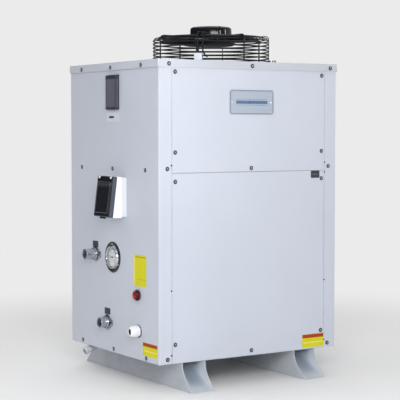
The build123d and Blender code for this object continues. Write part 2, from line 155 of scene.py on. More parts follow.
def paint(name, col, rough=0.42, peel=0.35, wave=0.25, vary=0.025, low_darkening=0.0, spec=0.5):
    """Powder coat: orange peel, slow waves of the sheet, faint cloudiness, darker in patches near the ground."""
    m, nt, b = new_mat(name)
    v = coords(nt)
    big = noise_tex(nt, v, 2.6, 2.0)
    mid = noise_tex(nt, v, 34.0, 3.0)
    fine = noise_tex(nt, v, 620.0, 2.0, 0.6)
    c0 = tuple(x * (1 - vary) for x in col)
    c1 = tuple(min(1, x * (1 + vary)) for x in col)
    c = ramp(nt, big, [(0.3, c0), (0.7, c1)])
    f = map_range(nt, fine, 0.35, 0.65, 0.985, 1.015)
    comb = nt.nodes.new("ShaderNodeCombineColor")
    for i in range(3):
        nt.links.new(f, comb.inputs[i])
    c = mix_col(nt, 1.0, c, comb.outputs[0], "MULTIPLY")
    if low_darkening > 0:
        # darker in patches towards the bottom, in a warmer grey
        sep = nt.nodes.new("ShaderNodeSeparateXYZ")
        nt.links.new(v, sep.inputs[0])
        low = map_range(nt, sep.outputs[2], 0.0, 0.24, 1.0, 0.0, True)
        patch = map_range(nt, noise_tex(nt, v, 22.0, 4.0, 0.65), 0.42, 0.70, 0.0, 1.0)
        g = math_node(nt, "MULTIPLY", low, patch)
        g = math_node(nt, "MULTIPLY", g, low_darkening)
        c = mix_col(nt, g, c, tuple(x * 0.72 for x in (col[0] * 1.02, col[1], col[2] * 0.94)))
    nt.links.new(c, b.inputs["Base Color"])
    nt.links.new(map_range(nt, mid, 0.3, 0.7, rough - 0.04, rough + 0.05), b.inputs["Roughness"])
    b.inputs["Specular IOR Level"].default_value = spec
    n1 = bump(nt, noise_tex(nt, v, 5.5, 1.0), wave, 0.0022)
    n2 = bump(nt, fine, peel, 0.00012, n1)
    nt.links.new(n2, b.inputs["Normal"])
    return m


def metal(name, col, rough=0.3, brushed=None, spangle=0.0, scratch=0.15, vary=0.06):
    m, nt, b = new_mat(name)
    v = coords(nt)
    b.inputs["Metallic"].default_value = 1.0
    base = noise_tex(nt, v, 26.0, 4.0)
    if spangle > 0:
        vo = nt.nodes.new("ShaderNodeTexVoronoi")
        vo.inputs["Scale"].default_value = 95.0
        nt.links.new(v, vo.inputs["Vector"])
        sepc = nt.nodes.new("ShaderNodeSeparateColor")
        nt.links.new(vo.outputs["Color"], sepc.inputs[0])
        base = math_node(nt, "ADD", math_node(nt, "MULTIPLY", sepc.outputs[0], spangle), math_node(nt, "MULTIPLY", base, 1 - spangle))
    c = ramp(nt, base, [(0.25, tuple(x * (1 - vary) for x in col)), (0.75, tuple(min(1, x * (1 + vary)) for x in col))])
    nt.links.new(c, b.inputs["Base Color"])
    nt.links.new(map_range(nt, base, 0.2, 0.8, max(0.03, rough - 0.06), rough + 0.08), b.inputs["Roughness"])
    if brushed:
        vb = coords(nt, brushed)
        h = noise_tex(nt, vb, 1.0, 3.0, 0.7)
    else:
        h = noise_tex(nt, v, 420.0, 4.0, 0.7)
    nt.links.new(bump(nt, h, scratch, 0.00008), b.inputs["Normal"])
    return m


def plastic(name, col, rough=0.4, grain=900.0, bump_s=0.25, vary=0.04, coat=0.0, spec=0.5, subsurf=0.0):
    m, nt, b = new_mat(name)
    v = coords(nt)
    fine = noise_tex(nt, v, grain, 2.0, 0.6)
    soft = noise_tex(nt, v, 18.0, 3.0)
    c = ramp(nt, soft, [(0.25, tuple(x * (1 - vary) for x in col)), (0.75, tuple(min(1, x * (1 + vary)) for x in col))])
    nt.links.new(c, b.inputs["Base Color"])
    nt.links.new(map_range(nt, noise_tex(nt, v, 60.0, 4.0), 0.3, 0.7, max(0.03, rough - 0.05), rough + 0.06), b.inputs["Roughness"])
    b.inputs["Specular IOR Level"].default_value = spec
    if coat > 0:
        b.inputs["Coat Weight"].default_value = coat
        b.inputs["Coat Roughness"].default_value = 0.06
    if subsurf > 0:
        b.inputs["Subsurface Weight"].default_value = subsurf
        b.inputs["Subsurface Radius"].default_value = (0.004, 0.003, 0.003)
    nt.links.new(bump(nt, fine, bump_s, 0.00010), b.inputs["Normal"])
    return m


def clear(name, col, rough=0.05, alpha=0.2, ior=1.49):
    """Thin clear or smoked sheet: alpha for what shows through, a smooth surface for reflections."""
    m, nt, b = new_mat(name)
    v = coords(nt)
    soft = noise_tex(nt, v, 12.0, 3.0)
    c = ramp(nt, soft, [(0.3, tuple(x * 0.93 for x in col)), (0.7, tuple(min(1, x * 1.07) for x in col))])
    nt.links.new(c, b.inputs["Base Color"])
    nt.links.new(map_range(nt, noise_tex(nt, v, 90.0, 5.0, 0.7), 0.35, 0.7, rough, rough + 0.05), b.inputs["Roughness"])
    b.inputs["IOR"].default_value = ior
    b.inputs["Alpha"].default_value = alpha
    nt.links.new(bump(nt, noise_tex(nt, v, 30.0, 2.0), 0.1, 0.0002), b.inputs["Normal"])
    return m


PAINT = paint("m_cabinet_paint", (0.512, 0.547, 0.625), rough=0.40, low_darkening=0.10)
# painted shade: the lid's paint is a touch darker than the panels' paint, for the shade on its lip
PAINT_LID_SHADED = paint("m_lid_paint_shaded", (0.500, 0.530, 0.596), rough=0.40)


def shade_front_lip(m):
    """painted shade: the folded front lip of the lid is painted a little darker than the panels, most so in its middle
    """
    nt = m.node_tree
    b = [n for n in nt.nodes if n.type == "BSDF_PRINCIPLED"][0]
    old = b.inputs["Base Color"].links[0].from_socket
    v = coords(nt)
    sep = nt.nodes.new("ShaderNodeSeparateXYZ")
    nt.links.new(v, sep.inputs[0])
    # the painted shade is laid on the front face of the lip only
    face = map_range(nt, sep.outputs[1], YF - LIP + 0.0002, YF - LIP + 0.0008, 1.0, 0.0)
    soft = noise_tex(nt, v, 4.0, 2.0)
    f = ramp(nt, map_range(nt, math_node(nt, "ADD", sep.outputs[0], math_node(nt, "MULTIPLY", soft, 0.04)), -0.38, 0.38, 0.0, 1.0),
             [(0.0, (1.0, 1.0, 1.0)), (0.12, (0.99, 0.985, 0.98)), (0.40, (0.90, 0.895, 0.89)), (0.70, (0.93, 0.925, 0.92)), (1.0, (0.93, 0.925, 0.92))])
    nt.links.new(mix_col(nt, face, old, mix_col(nt, 1.0, old, f, "MULTIPLY")), b.inputs["Base Color"])


shade_front_lip(PAINT_LID_SHADED)
PAINT_FOOT = paint("m_foot_paint", (0.465, 0.495, 0.545), rough=0.46, peel=0.45, low_darkening=0.35, vary=0.05)
GALV = metal("m_galvanised", (0.50, 0.52, 0.54), rough=0.42, spangle=0.65, vary=0.14)
FINS = metal("m_coil_fins", (0.60, 0.64, 0.70), rough=0.36, brushed=(900, 900, 12), vary=0.06)
COPPER = metal("m_copper", (0.72, 0.36, 0.22), rough=0.28, vary=0.12)
WIRE_M = plastic("m_black_wire", (0.012, 0.013, 0.017), rough=0.36, grain=1500.0, bump_s=0.35, vary=0.2, spec=0.18)
GLOSS = plastic("m_black_gloss", (0.009, 0.010, 0.013), rough=0.10, grain=1200.0, bump_s=0.03, vary=0.2, spec=0.42)
BLADE_M = plastic("m_fan_blade", (0.016, 0.018, 0.022), rough=0.42, grain=800.0, bump_s=0.3, vary=0.2, spec=0.18)
WHITE = plastic("m_white_plastic", (0.70, 0.73, 0.79), rough=0.34, grain=1400.0, bump_s=0.12, vary=0.02)
GREY = plastic("m_grey_plastic", (0.36, 0.38, 0.41), rough=0.45, grain=1300.0, bump_s=0.2)
DARK = plastic("m_dark_plastic", (0.020, 0.022, 0.028), rough=0.42, grain=1300.0, bump_s=0.25, vary=0.15, spec=0.2)
GLASS = clear("m_clear_glass", (0.85, 0.88, 0.90), rough=0.03, alpha=0.12, ior=1.52)
CHROME = metal("m_polished_metal", (0.70, 0.71, 0.73), rough=0.12, scratch=0.06, vary=0.04)
BRASS_N = metal("m_nickel_satin", (0.62, 0.63, 0.64), rough=0.26, scratch=0.12, vary=0.05)
ZINC = metal("m_zinc_screw", (0.60, 0.61, 0.62), rough=0.30, scratch=0.2, vary=0.1)
DIAL = plastic("m_dial_white", (0.66, 0.68, 0.70), rough=0.5, grain=2000.0, bump_s=0.05, vary=0.02)
INK = plastic("m_black_ink", (0.014, 0.014, 0.018), rough=0.5, grain=2000.0, bump_s=0.05, spec=0.2)
RUBBER = plastic("m_cable_rubber", (0.012, 0.012, 0.014), rough=0.55, grain=1600.0, bump_s=0.35, spec=0.15)
BLUE_INK = plastic("m_enamel_blue", (0.060, 0.125, 0.250), rough=0.3, grain=2000.0, bump_s=0.05)
BAND_GREY = plastic("m_enamel_grey", (0.17, 0.19, 0.23), rough=0.3, grain=2000.0, bump_s=0.05)
YELLOW = plastic("m_tag_yellow", (0.62, 0.585, 0.012), rough=0.45, grain=2400.0, bump_s=0.06, vary=0.03, spec=0.12)
PALE = plastic("m_tag_pale", (0.60, 0.63, 0.69), rough=0.36, grain=2400.0, bump_s=0.06, vary=0.02)
ORANGE = plastic("m_tag_orange", (0.36, 0.045, 0.015), rough=0.40, grain=2400.0, bump_s=0.06, vary=0.03, spec=0.12)

# painted shade in the panel seams
SEAM_SHADE = plastic("m_seam_shade", (0.20, 0.215, 0.24), rough=0.6, grain=1300.0, bump_s=0.2, vary=0.05, spec=0.2)
# dark rubber for real seals, also laid down as painted shade: rings under screw heads, round socket collars and round
# the socket plates
SEAL_AND_SHADE = plastic("m_rubber_seal_and_shade", (0.020, 0.022, 0.026), rough=0.6, grain=1600.0, bump_s=0.2, vary=0.1, spec=0.2)
SCREW_M = metal("m_panel_screw", (0.30, 0.31, 0.335), rough=0.30, scratch=0.2, vary=0.10)
BOLT_DARK = metal("m_blackened_bolt", (0.035, 0.037, 0.042), rough=0.34, scratch=0.2, vary=0.12)
DARKMETAL = metal("m_dark_screw", (0.16, 0.165, 0.18), rough=0.32, scratch=0.2, vary=0.12)
DARKTAG = plastic("m_tag_dark", (0.028, 0.031, 0.042), rough=0.45, grain=2400.0, bump_s=0.06, vary=0.06, spec=0.25)
GREYINK = plastic("m_tag_grey_ink", (0.10, 0.11, 0.13), rough=0.45, grain=2400.0, bump_s=0.06, vary=0.05, spec=0.25)
PALEYEL = plastic("m_tag_pale_yellow", (0.72, 0.66, 0.13), rough=0.42, grain=2400.0, bump_s=0.06, vary=0.03)
MAROON = plastic("m_lamp_maroon", (0.060, 0.006, 0.012), rough=0.30, grain=900.0, bump_s=0.1, vary=0.1, spec=0.3)
FLANGE_BLACK = plastic("m_gauge_flange", (0.014, 0.016, 0.022), rough=0.20, grain=500.0, bump_s=0.06, vary=0.15, spec=0.45)
LCD = plastic("m_display_screen", (0.10, 0.115, 0.11), rough=0.2, grain=900.0, bump_s=0.03, vary=0.04)
# painted highlight: lighter colour for the beads on the isolator cover
COVER_EDGE_HIGHLIGHT = plastic("m_cover_edge_highlight", (0.17, 0.185, 0.22), rough=0.25, grain=900.0, bump_s=0.05, vary=0.06)
BUTTON_WHITE = plastic("m_hinge_button", (0.88, 0.90, 0.92), rough=0.35, grain=1400.0, bump_s=0.08, vary=0.02)
# painted shade: darker metal for the inside of the socket bores
SOCKET_BORE_SHADED = metal("m_socket_bore_shaded", (0.22, 0.235, 0.26), rough=0.45, scratch=0.1, vary=0.1)
GAUGE_RING = metal("m_gauge_ring", (0.52, 0.54, 0.58), rough=0.16, scratch=0.08, vary=0.06)
GLAND_WHITE = plastic("m_gland_white", (0.76, 0.78, 0.81), rough=0.32, grain=1400.0, bump_s=0.10, vary=0.015)
DRAIN_M = plastic("m_drain_grey", (0.50, 0.53, 0.57), rough=0.40, grain=1300.0, bump_s=0.14, vary=0.03)
SOCKET_M = metal("m_socket_plated", (0.50, 0.53, 0.58), rough=0.22, scratch=0.10, vary=0.07)


def isolator_white():
    """white moulding: the wide front frame in plain white, the recessed back part painted greyer as painted shade"""
    m, nt, b = new_mat("m_isolator_white_shaded")
    v = coords(nt)
    sep = nt.nodes.new("ShaderNodeSeparateXYZ")
    nt.links.new(v, sep.inputs[0])
    # painted shade: the recessed back part of the box is painted greyer
    back = map_range(nt, sep.outputs[0], X0 - 0.0203, X0 - 0.0197, 0.0, 1.0)
    soft = noise_tex(nt, v, 18.0, 3.0)
    c0 = ramp(nt, soft, [(0.25, (0.88, 0.90, 0.92)), (0.75, (0.92, 0.94, 0.96))])
    c1 = ramp(nt, soft, [(0.25, (0.66, 0.68, 0.71)), (0.75, (0.69, 0.71, 0.74))])
    nt.links.new(mix_col(nt, back, c0, c1), b.inputs["Base Color"])
    nt.links.new(map_range(nt, noise_tex(nt, v, 60.0, 4.0), 0.3, 0.7, 0.30, 0.40), b.inputs["Roughness"])
    nt.links.new(bump(nt, noise_tex(nt, v, 1400.0, 2.0), 0.12, 0.0001), b.inputs["Normal"])
    return m


ISO_WHITE = isolator_white()


def plate_material():
    """satin metal plate, brushed along its length, with a darker band round its border that is painted shade of its
    raised edge
    """
    m, nt, b = new_mat("m_name_plate")
    v = coords(nt)
    sep = nt.nodes.new("ShaderNodeSeparateXYZ")
    nt.links.new(v, sep.inputs[0])
    dx = math_node(nt, "SUBTRACT", math_node(nt, "ABSOLUTE", math_node(nt, "SUBTRACT", sep.outputs[0], 0.003)), 0.0882)
    dz = math_node(nt, "SUBTRACT", math_node(nt, "ABSOLUTE", math_node(nt, "SUBTRACT", sep.outputs[2], 0.984)), 0.0382)
    # painted shade: the border band is darker than the plate
    edge = map_range(nt, math_node(nt, "MAXIMUM", dx, dz), -0.0002, 0.0002, 0.0, 1.0)
    vb = coords(nt, (10, 500, 900))
    br = noise_tex(nt, vb, 1.0, 3.0, 0.7)
    c0 = ramp(nt, br, [(0.25, (0.285, 0.330, 0.400)), (0.75, (0.345, 0.390, 0.465))])
    c1 = ramp(nt, br, [(0.25, (0.17, 0.19, 0.23)), (0.75, (0.21, 0.235, 0.275))])
    nt.links.new(mix_col(nt, edge, c0, c1), b.inputs["Base Color"])
    b.inputs["Metallic"].default_value = 0.35
    nt.links.new(map_range(nt, br, 0.2, 0.8, 0.36, 0.46), b.inputs["Roughness"])
    nt.links.new(bump(nt, br, 0.2, 0.00008), b.inputs["Normal"])
    return m


PLATE_M = plate_material()


def window_pane():
    """smoked cover: dark margins moulded solid, the top and bottom margins painted darker still as painted shade of the
    recess behind, a clearer field in the middle that shows the controller
    """
    m, nt, b = new_mat("m_smoked_pane")
    v = coords(nt)
    sep = nt.nodes.new("ShaderNodeSeparateXYZ")
    nt.links.new(v, sep.inputs[0])
    y, z = sep.outputs[1], sep.outputs[2]
    e = 0.0006
    iny = math_node(nt, "MULTIPLY", map_range(nt, y, -0.0385 - e, -0.0385 + e, 0.0, 1.0), map_range(nt, y, 0.0225 - e, 0.0225 + e, 1.0, 0.0))
    inz = math_node(nt, "MULTIPLY", map_range(nt, z, 0.9675 - e, 0.9675 + e, 0.0, 1.0), map_range(nt, z, 1.0665 - e, 1.0665 + e, 1.0, 0.0))
    field = math_node(nt, "MULTIPLY", iny, inz)
    soft = noise_tex(nt, v, 12.0, 3.0)
    c_in = ramp(nt, soft, [(0.3, (0.118, 0.120, 0.156)), (0.7, (0.148, 0.149, 0.186))])
    # painted shade: the top and bottom margins
    shade_band = math_node(nt, "MAXIMUM", map_range(nt, z, 0.9675 - e, 0.9675 + e, 1.0, 0.0), map_range(nt, z, 1.0665 - e, 1.0665 + e, 0.0, 1.0))
    c_side = ramp(nt, soft, [(0.3, (0.062, 0.066, 0.088)), (0.7, (0.076, 0.080, 0.104))])
    c_shade_band = ramp(nt, soft, [(0.3, (0.034, 0.036, 0.050)), (0.7, (0.044, 0.046, 0.062))])
    c = mix_col(nt, field, mix_col(nt, shade_band, c_side, c_shade_band), c_in)
    nt.links.new(c, b.inputs["Base Color"])
    nt.links.new(map_range(nt, field, 0.0, 1.0, 1.0, 0.80), b.inputs["Alpha"])
    nt.links.new(map_range(nt, noise_tex(nt, v, 90.0, 5.0, 0.7), 0.35, 0.7, 0.10, 0.16), b.inputs["Roughness"])
    b.inputs["Specular IOR Level"].default_value = 0.3
    nt.links.new(bump(nt, noise_tex(nt, v, 26.0, 2.0), 0.25, 0.0006), b.inputs["Normal"])
    return m


PANE = window_pane()


def smoked_cover():
    """isolator cover: near black, with painted light: its two long side walls painted lighter where they catch the
    light, and a painted sheen in a band near the top
    """
    m, nt, b = new_mat("m_smoked_cover_painted_light")
    v = coords(nt)
    sep = nt.nodes.new("ShaderNodeSeparateXYZ")
    nt.links.new(v, sep.inputs[0])
    y = sep.outputs[1]
    e = 0.0004
    # painted light: the two long side walls are painted lighter
    lit_side = math_node(nt, "MAXIMUM", map_range(nt, y, -0.1022 - e, -0.1022 + e, 1.0, 0.0), map_range(nt, y, 0.0062 - e, 0.0062 + e, 0.0, 1.0))
    soft = noise_tex(nt, v, 16.0, 3.0)
    c0 = ramp(nt, soft, [(0.3, (0.010, 0.011, 0.015)), (0.7, (0.013, 0.014, 0.019))])
    c1 = ramp(nt, soft, [(0.3, (0.070, 0.080, 0.106)), (0.7, (0.082, 0.092, 0.120))])
    z = sep.outputs[2]
    # painted sheen: a lighter band near the top of the cover
    painted_sheen = math_node(nt, "MULTIPLY", map_range(nt, z, 0.684, 0.7005, 0.0, 1.0, True), map_range(nt, z, 0.7015, 0.7055, 1.0, 0.0, True))
    c0 = mix_col(nt, painted_sheen, c0, (0.040, 0.045, 0.056))
    nt.links.new(mix_col(nt, lit_side, c0, c1), b.inputs["Base Color"])
    nt.links.new(map_range(nt, noise_tex(nt, v, 80.0, 5.0, 0.7), 0.35, 0.7, 0.16, 0.24), b.inputs["Roughness"])
    b.inputs["Specular IOR Level"].default_value = 0.22
    nt.links.new(bump(nt, noise_tex(nt, v, 300.0, 2.0), 0.04, 0.0001), b.inputs["Normal"])
    return m


SMOKED = smoked_cover()


def lamp_red():
    """moulded lens: clear red in the middle, near black red down its sides"""
    m, nt, b = new_mat("m_lamp_red")
    v = coords(nt)
    sep = nt.nodes.new("ShaderNodeSeparateXYZ")
    nt.links.new(v, sep.inputs[0])
    dy = math_node(nt, "SUBTRACT", sep.outputs[1], -0.180)
    dz = math_node(nt, "SUBTRACT", sep.outputs[2], 0.319)
    rr = math_node(nt, "SQRT", math_node(nt, "ADD", math_node(nt, "MULTIPLY", dy, dy), math_node(nt, "MULTIPLY", dz, dz)))
    soft = noise_tex(nt, v, 120.0, 3.0)
    t = math_node(nt, "ADD", rr, math_node(nt, "MULTIPLY", math_node(nt, "SUBTRACT", soft, 0.5), 0.002))
    c = ramp(nt, map_range(nt, t, 0.006, 0.0155, 0.0, 1.0), [(0.0, (0.40, 0.008, 0.012)), (0.45, (0.30, 0.006, 0.010)), (0.75, (0.085, 0.003, 0.007)), (1.0, (0.035, 0.002, 0.005))])
    nt.links.new(c, b.inputs["Base Color"])
    nt.links.new(map_range(nt, noise_tex(nt, v, 60.0, 4.0), 0.3, 0.7, 0.10, 0.18), b.inputs["Roughness"])
    b.inputs["Specular IOR Level"].default_value = 0.4
    nt.links.new(bump(nt, noise_tex(nt, v, 500.0, 2.0), 0.04, 0.0001), b.inputs["Normal"])
    return m


RED = lamp_red()


# ------------------------------------------------------------------ mesh making
class Geo:
    def __init__(self):
        self.v, self.f, self.m = [], [], []

    def add(self, verts, faces, mi=0):
        k = len(self.v)
        self.v += [tuple(p) for p in verts]
        self.f += [tuple(i + k for i in f) for f in faces]
        self.m += [mi] * len(faces)

    def lathe(self, prof, origin, axis=(0, 0, 1), segs=48, mi=0, closed=False, start=None):
        """prof: (along, radius) pairs in metres. closed joins the last point to the first."""
        a = Vector(axis).normalized()
        u = Vector(start) if start else (a.orthogonal().normalized())
        w = a.cross(u)
        o = Vector(origin)
        rings, verts = [], []
        for h, r in prof:
            if r < 1e-7:
                rings.append([len(verts)])
                verts.append(o + a * h)
            else:
                rings.append(list(range(len(verts), len(verts) + segs)))
                for i in range(segs):
                    t = 2 * math.pi * i / segs
                    verts.append(o + a * h + (u * math.cos(t) + w * math.sin(t)) * r)
        faces = []
        pairs = list(zip(rings, rings[1:] + ([rings[0]] if closed else [])))
        if not closed:
            pairs = pairs[:len(rings) - 1]
        for p, q in pairs:
            for i in range(segs):
                j = (i + 1) % segs
                if len(p) == 1 and len(q) == 1:
                    continue
                if len(p) == 1:
                    faces.append((p[0], q[j], q[i]))
                elif len(q) == 1:
                    faces.append((p[i], p[j], q[0]))
                else:
                    faces.append((p[i], p[j], q[j], q[i]))
        self.add(verts, faces, mi)

    def tube(self, pts, r, segs=8, mi=0, closed=False, caps=True, flat=1.0, up=None):
        pts = [Vector(p) for p in pts]
        n = len(pts)
        tang = []
        for i in range(n):
            if closed:
                d = pts[(i + 1) % n] - pts[i - 1]
            else:
                d = pts[min(i + 1, n - 1)] - pts[max(i - 1, 0)]
            tang.append(d.normalized())
        u = Vector(up) if up else tang[0].orthogonal()
        u = (u - tang[0] * u.dot(tang[0])).normalized()
        verts = []
        for i in range(n):
            u = (u - tang[i] * u.dot(tang[i])).normalized()
            w = tang[i].cross(u)
            rr = r[i] if hasattr(r, "__len__") else r
            for k in range(segs):
                t = 2 * math.pi * k / segs
                verts.append(pts[i] + (u * math.cos(t) * flat + w * math.sin(t)) * rr)
        faces = []
        for i in range(n if closed else n - 1):
            j = (i + 1) % n
            for k in range(segs):
                l = (k + 1) % segs
                faces.append((i * segs + k, i * segs + l, j * segs + l, j * segs + k))
        if caps and not closed:
            faces.append(tuple(reversed(range(segs))))
            faces.append(tuple(range((n - 1) * segs, n * segs)))
        self.add(verts, faces, mi)

    def ring(self, c, R, r, axis=(0, 0, 1), segs=96, sides=8, mi=0):
        a = Vector(axis).normalized()
        u = a.orthogonal().normalized()
        w = a.cross(u)
        c = Vector(c)
        pts = [c + (u * math.cos(2 * math.pi * i / segs) + w * math.sin(2 * math.pi * i / segs)) * R for i in range(segs)]
        self.tube(pts, r, sides, mi, closed=True, up=a)

    def bm(self, bmsh, mi=0, mat=None):
        bmsh.verts.ensure_lookup_table()
        bmsh.verts.index_update()
        vs = [(mat @ v.co if mat else v.co.copy()) for v in bmsh.verts]
        self.add(vs, [tuple(v.index for v in f.verts) for f in bmsh.faces], mi)

    def rbox(self, x0, x1, y0, y1, z0, z1, r=0.0005, segs=2, mi=0, mat=None):
        b = bmesh.new()
        bmesh.ops.create_cube(b, size=1.0)
        for v in b.verts:
            v.co = Vector(((x0 + x1) / 2 + v.co.x * (x1 - x0), (y0 + y1) / 2 + v.co.y * (y1 - y0), (z0 + z1) / 2 + v.co.z * (z1 - z0)))
        if r > 0:
            bmesh.ops.bevel(b, geom=list(b.edges), offset=r, segments=segs, profile=0.5, affect="EDGES")
        self.bm(b, mi, mat)
        b.free()

    def slab(self, outline, plane, thick, r=0.0, segs=2, mi=0):
        """outline: 2-D points; plane: (origin, u, w, n). Pushed along n by thick, with rounded outer edges."""
        o, u, w, n = (Vector(q) for q in plane)
        b = bmesh.new()
        vs = [b.verts.new(o + u * p[0] + w * p[1]) for p in outline]
        f = b.faces.new(vs)
        ext = bmesh.ops.extrude_face_region(b, geom=[f])
        top = [g for g in ext["geom"] if isinstance(g, bmesh.types.BMVert)]
        for v in top:
            v.co += n * thick
        if r > 0:
            tops = set(top)
            edges = [e for e in b.edges if e.verts[0] in tops and e.verts[1] in tops]
            bmesh.ops.bevel(b, geom=edges, offset=r, segments=segs, profile=0.5, affect="EDGES")
        bmesh.ops.recalc_face_normals(b, faces=list(b.faces))
        self.bm(b, mi)
        b.free()

    def make(self, name, mats, body="root", slot=None, replaces=(), smooth=35.0, fix=True):
        me = bpy.data.meshes.new(name)
        me.from_pydata([tuple(p) for p in self.v], [], self.f)
        me.update()
        for m in (mats if isinstance(mats, (list, tuple)) else [mats]):
            me.materials.append(m)
        me.polygons.foreach_set("material_index", self.m)
        if fix:
            b = bmesh.new()
            b.from_mesh(me)
            bmesh.ops.recalc_face_normals(b, faces=list(b.faces))
            b.to_mesh(me)
            b.free()
        if smooth is not None:
            me.shade_smooth()
            me.set_sharp_from_angle(angle=math.radians(smooth))
        ob = bpy.data.objects.new(name, me)
        bpy.context.scene.collection.objects.link(ob)
        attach(ob, body)
        if replaces:
            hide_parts(*replaces)
        return ob


def rrect(w, h, r, n=6):
    """outline of a rounded rectangle about (0, 0)"""
    pts = []
    for cx, cy, a0 in ((w / 2 - r, h / 2 - r, 0), (-w / 2 + r, h / 2 - r, 90), (-w / 2 + r, -h / 2 + r, 180), (w / 2 - r, -h / 2 + r, 270)):
        for i in range(n + 1):
            a = math.radians(a0 + 90 * i / n)
            pts.append((cx + r * math.cos(a), cy + r * math.sin(a)))
    return pts


def left_plane(y, z, off=0.0):
    """plane on the service face: right is -Y, up is +Z, out is -X"""
    return ((X0 - off, y, z), (0, -1, 0), (0, 0, 1), (-1, 0, 0))


def front_plane(x, z, off=0.0):
    return ((x, YF - off, z), (1, 0, 0), (0, 0, 1), (0, -1, 0))


def cad(node, mat, bevel=0.0, segs=2, angle=40):
    """A CAD node keeps its mesh; it gets its material, and modifiers that round its edges."""
    o = NODES[node]
    if len(o.material_slots) == 0:
        o.data.materials.append(mat)
    for s in o.material_slots:
        s.material = mat
    if bevel > 0:
        w = o.modifiers.new("weld", "WELD")
        w.merge_threshold = 0.00001
        b = o.modifiers.new("bevel", "BEVEL")
        b.width = bevel
        b.segments = segs
        b.limit_method = "ANGLE"
        b.angle_limit = math.radians(angle)
        b.harden_normals = False
        b.use_clamp_overlap = True
    return o


# ------------------------------------------------------------------ carried-over nodes
for n in ("left_panel", "right_panel", "front_lower_panel", "front_upper_panel", "back_lower_panel", "back_upper_panel"):
    cad(n, PAINT, 0.0006)
cad("top_cover", PAINT_LID_SHADED, 0.0007)
for n in ("foot_left", "foot_right"):
    cad(n, PAINT_FOOT, 0.0010)
for n in ("base_pan", "middle_deck", "post_front_left", "post_front_right", "post_back_left", "post_back_right", "fan_ring"):
    cad(n, GALV)
cad("coil_back", FINS)
cad("coil_right", FINS)
cad("coil_guard_back", WIRE_M)
cad("coil_guard_right", WIRE_M)
cad("fan_guard", WIRE_M)
cad("fan_motor", GLOSS)
cad("fan_rotor", BLADE_M)
cad("junction_block", WHITE, 0.0008)
cad("motor_cable", RUBBER)
cad("window_frame", DARK, 0.0004)
cad("window_cover", PANE, 0.0005)
cad("controller", GREY, 0.0006)
cad("isolator_box", ISO_WHITE, 0.0008)
cad("isolator_switch", GREY, 0.0006)
cad("isolator_cover", SMOKED, 0.0006)
for n in ("outlet_socket", "inlet_socket"):
    cad(n, BRASS_N)
for n in ("outlet_flange", "inlet_flange"):
    cad(n, BRASS_N, 0.0004)
cad("gauge_case", CHROME)
cad("gauge_dial", DIAL)
cad("gauge_glass", GLASS)
cad("gauge_needle", INK)
cad("lamp_bezel", MAROON)
cad("lamp_lens", RED)
cad("cable_gland", WHITE)
cad("gland_washer", DARK)
cad("drain_elbow", WHITE)
cad("name_plate", PLATE_M, 0.0003)


# ------------------------------------------------------------------ screws
def xf(o, n, spin=0.0, up=None):
    """frame whose Z is n, at o"""
    n = Vector(n).normalized()
    u = Vector(up) if up else Vector((0, 0, 1))
    if abs(u.dot(n)) > 0.95:
        u = Vector((1, 0, 0))
    u = (u - n * u.dot(n)).normalized()
    w = n.cross(u)
    m = Matrix((u, w, n)).transposed().to_4x4()
    m.translation = Vector(o)
    return m @ Matrix.Rotation(spin, 4, "Z")


def stamp(geo, tmpl, m, k=1.0):
    for i in range(len(tmpl.f)):
        pass
    base = len(geo.v)
    geo.v += [tuple(m @ (Vector(p) * k)) for p in tmpl.v]
    geo.f += [tuple(i + base for i in f) for f in tmpl.f]
    geo.m += list(tmpl.m)


def cross_head(r_top, h, prof, mi=0, segs=24):
    """a turned head with a cross recess in its top; prof runs from the top edge down and out, in mm"""
    g = Geo()
    verts, faces = [], []
    rings = []
    for z, r in [(h, r_top)] + prof:
        rings.append(len(verts))
        for i in range(segs):
            t = 2 * math.pi * i / segs
            verts.append((r * math.cos(t) * MM, r * math.sin(t) * MM, z * MM))
    for a, b in zip(rings, rings[1:]):
        for i in range(segs):
            j = (i + 1) % segs
            faces.append((a + i, b + i, b + j, a + j))
    faces.append(tuple(rings[-1] + i for i in reversed(range(segs))))
    L, a = r_top * 0.84, r_top * 0.21
    loop = [(L, -a), (L, a), (a, a), (a, L), (-a, L), (-a, a), (-L, a), (-L, -a), (-a, -a), (-a, -L), (a, -L), (a, -a)]
    c0 = len(verts)
    verts += [(x * MM, y * MM, h * MM) for x, y in loop]
    d0 = len(verts)
    verts += [(x * 0.8 * MM, y * 0.8 * MM, (h - 1.3) * MM) for x, y in loop]
    q = segs // 12
    for i in range(12):
        j = (i + 1) % 12
        k = -1 + 2 * i
        faces.append((c0 + i, k % segs, (k + 1) % segs, (k + 2) % segs, c0 + j))
        faces.append((c0 + i, c0 + j, d0 + j, d0 + i))
    faces.append((d0 + 2, d0 + 5, d0 + 8, d0 + 11))
    for i, j, k, l in ((0, 1, 2, 11), (3, 4, 5, 2), (6, 7, 8, 5), (9, 10, 11, 8)):
        faces.append((d0 + i, d0 + j, d0 + k, d0 + l))
    g.add(verts, faces, mi)
    return g


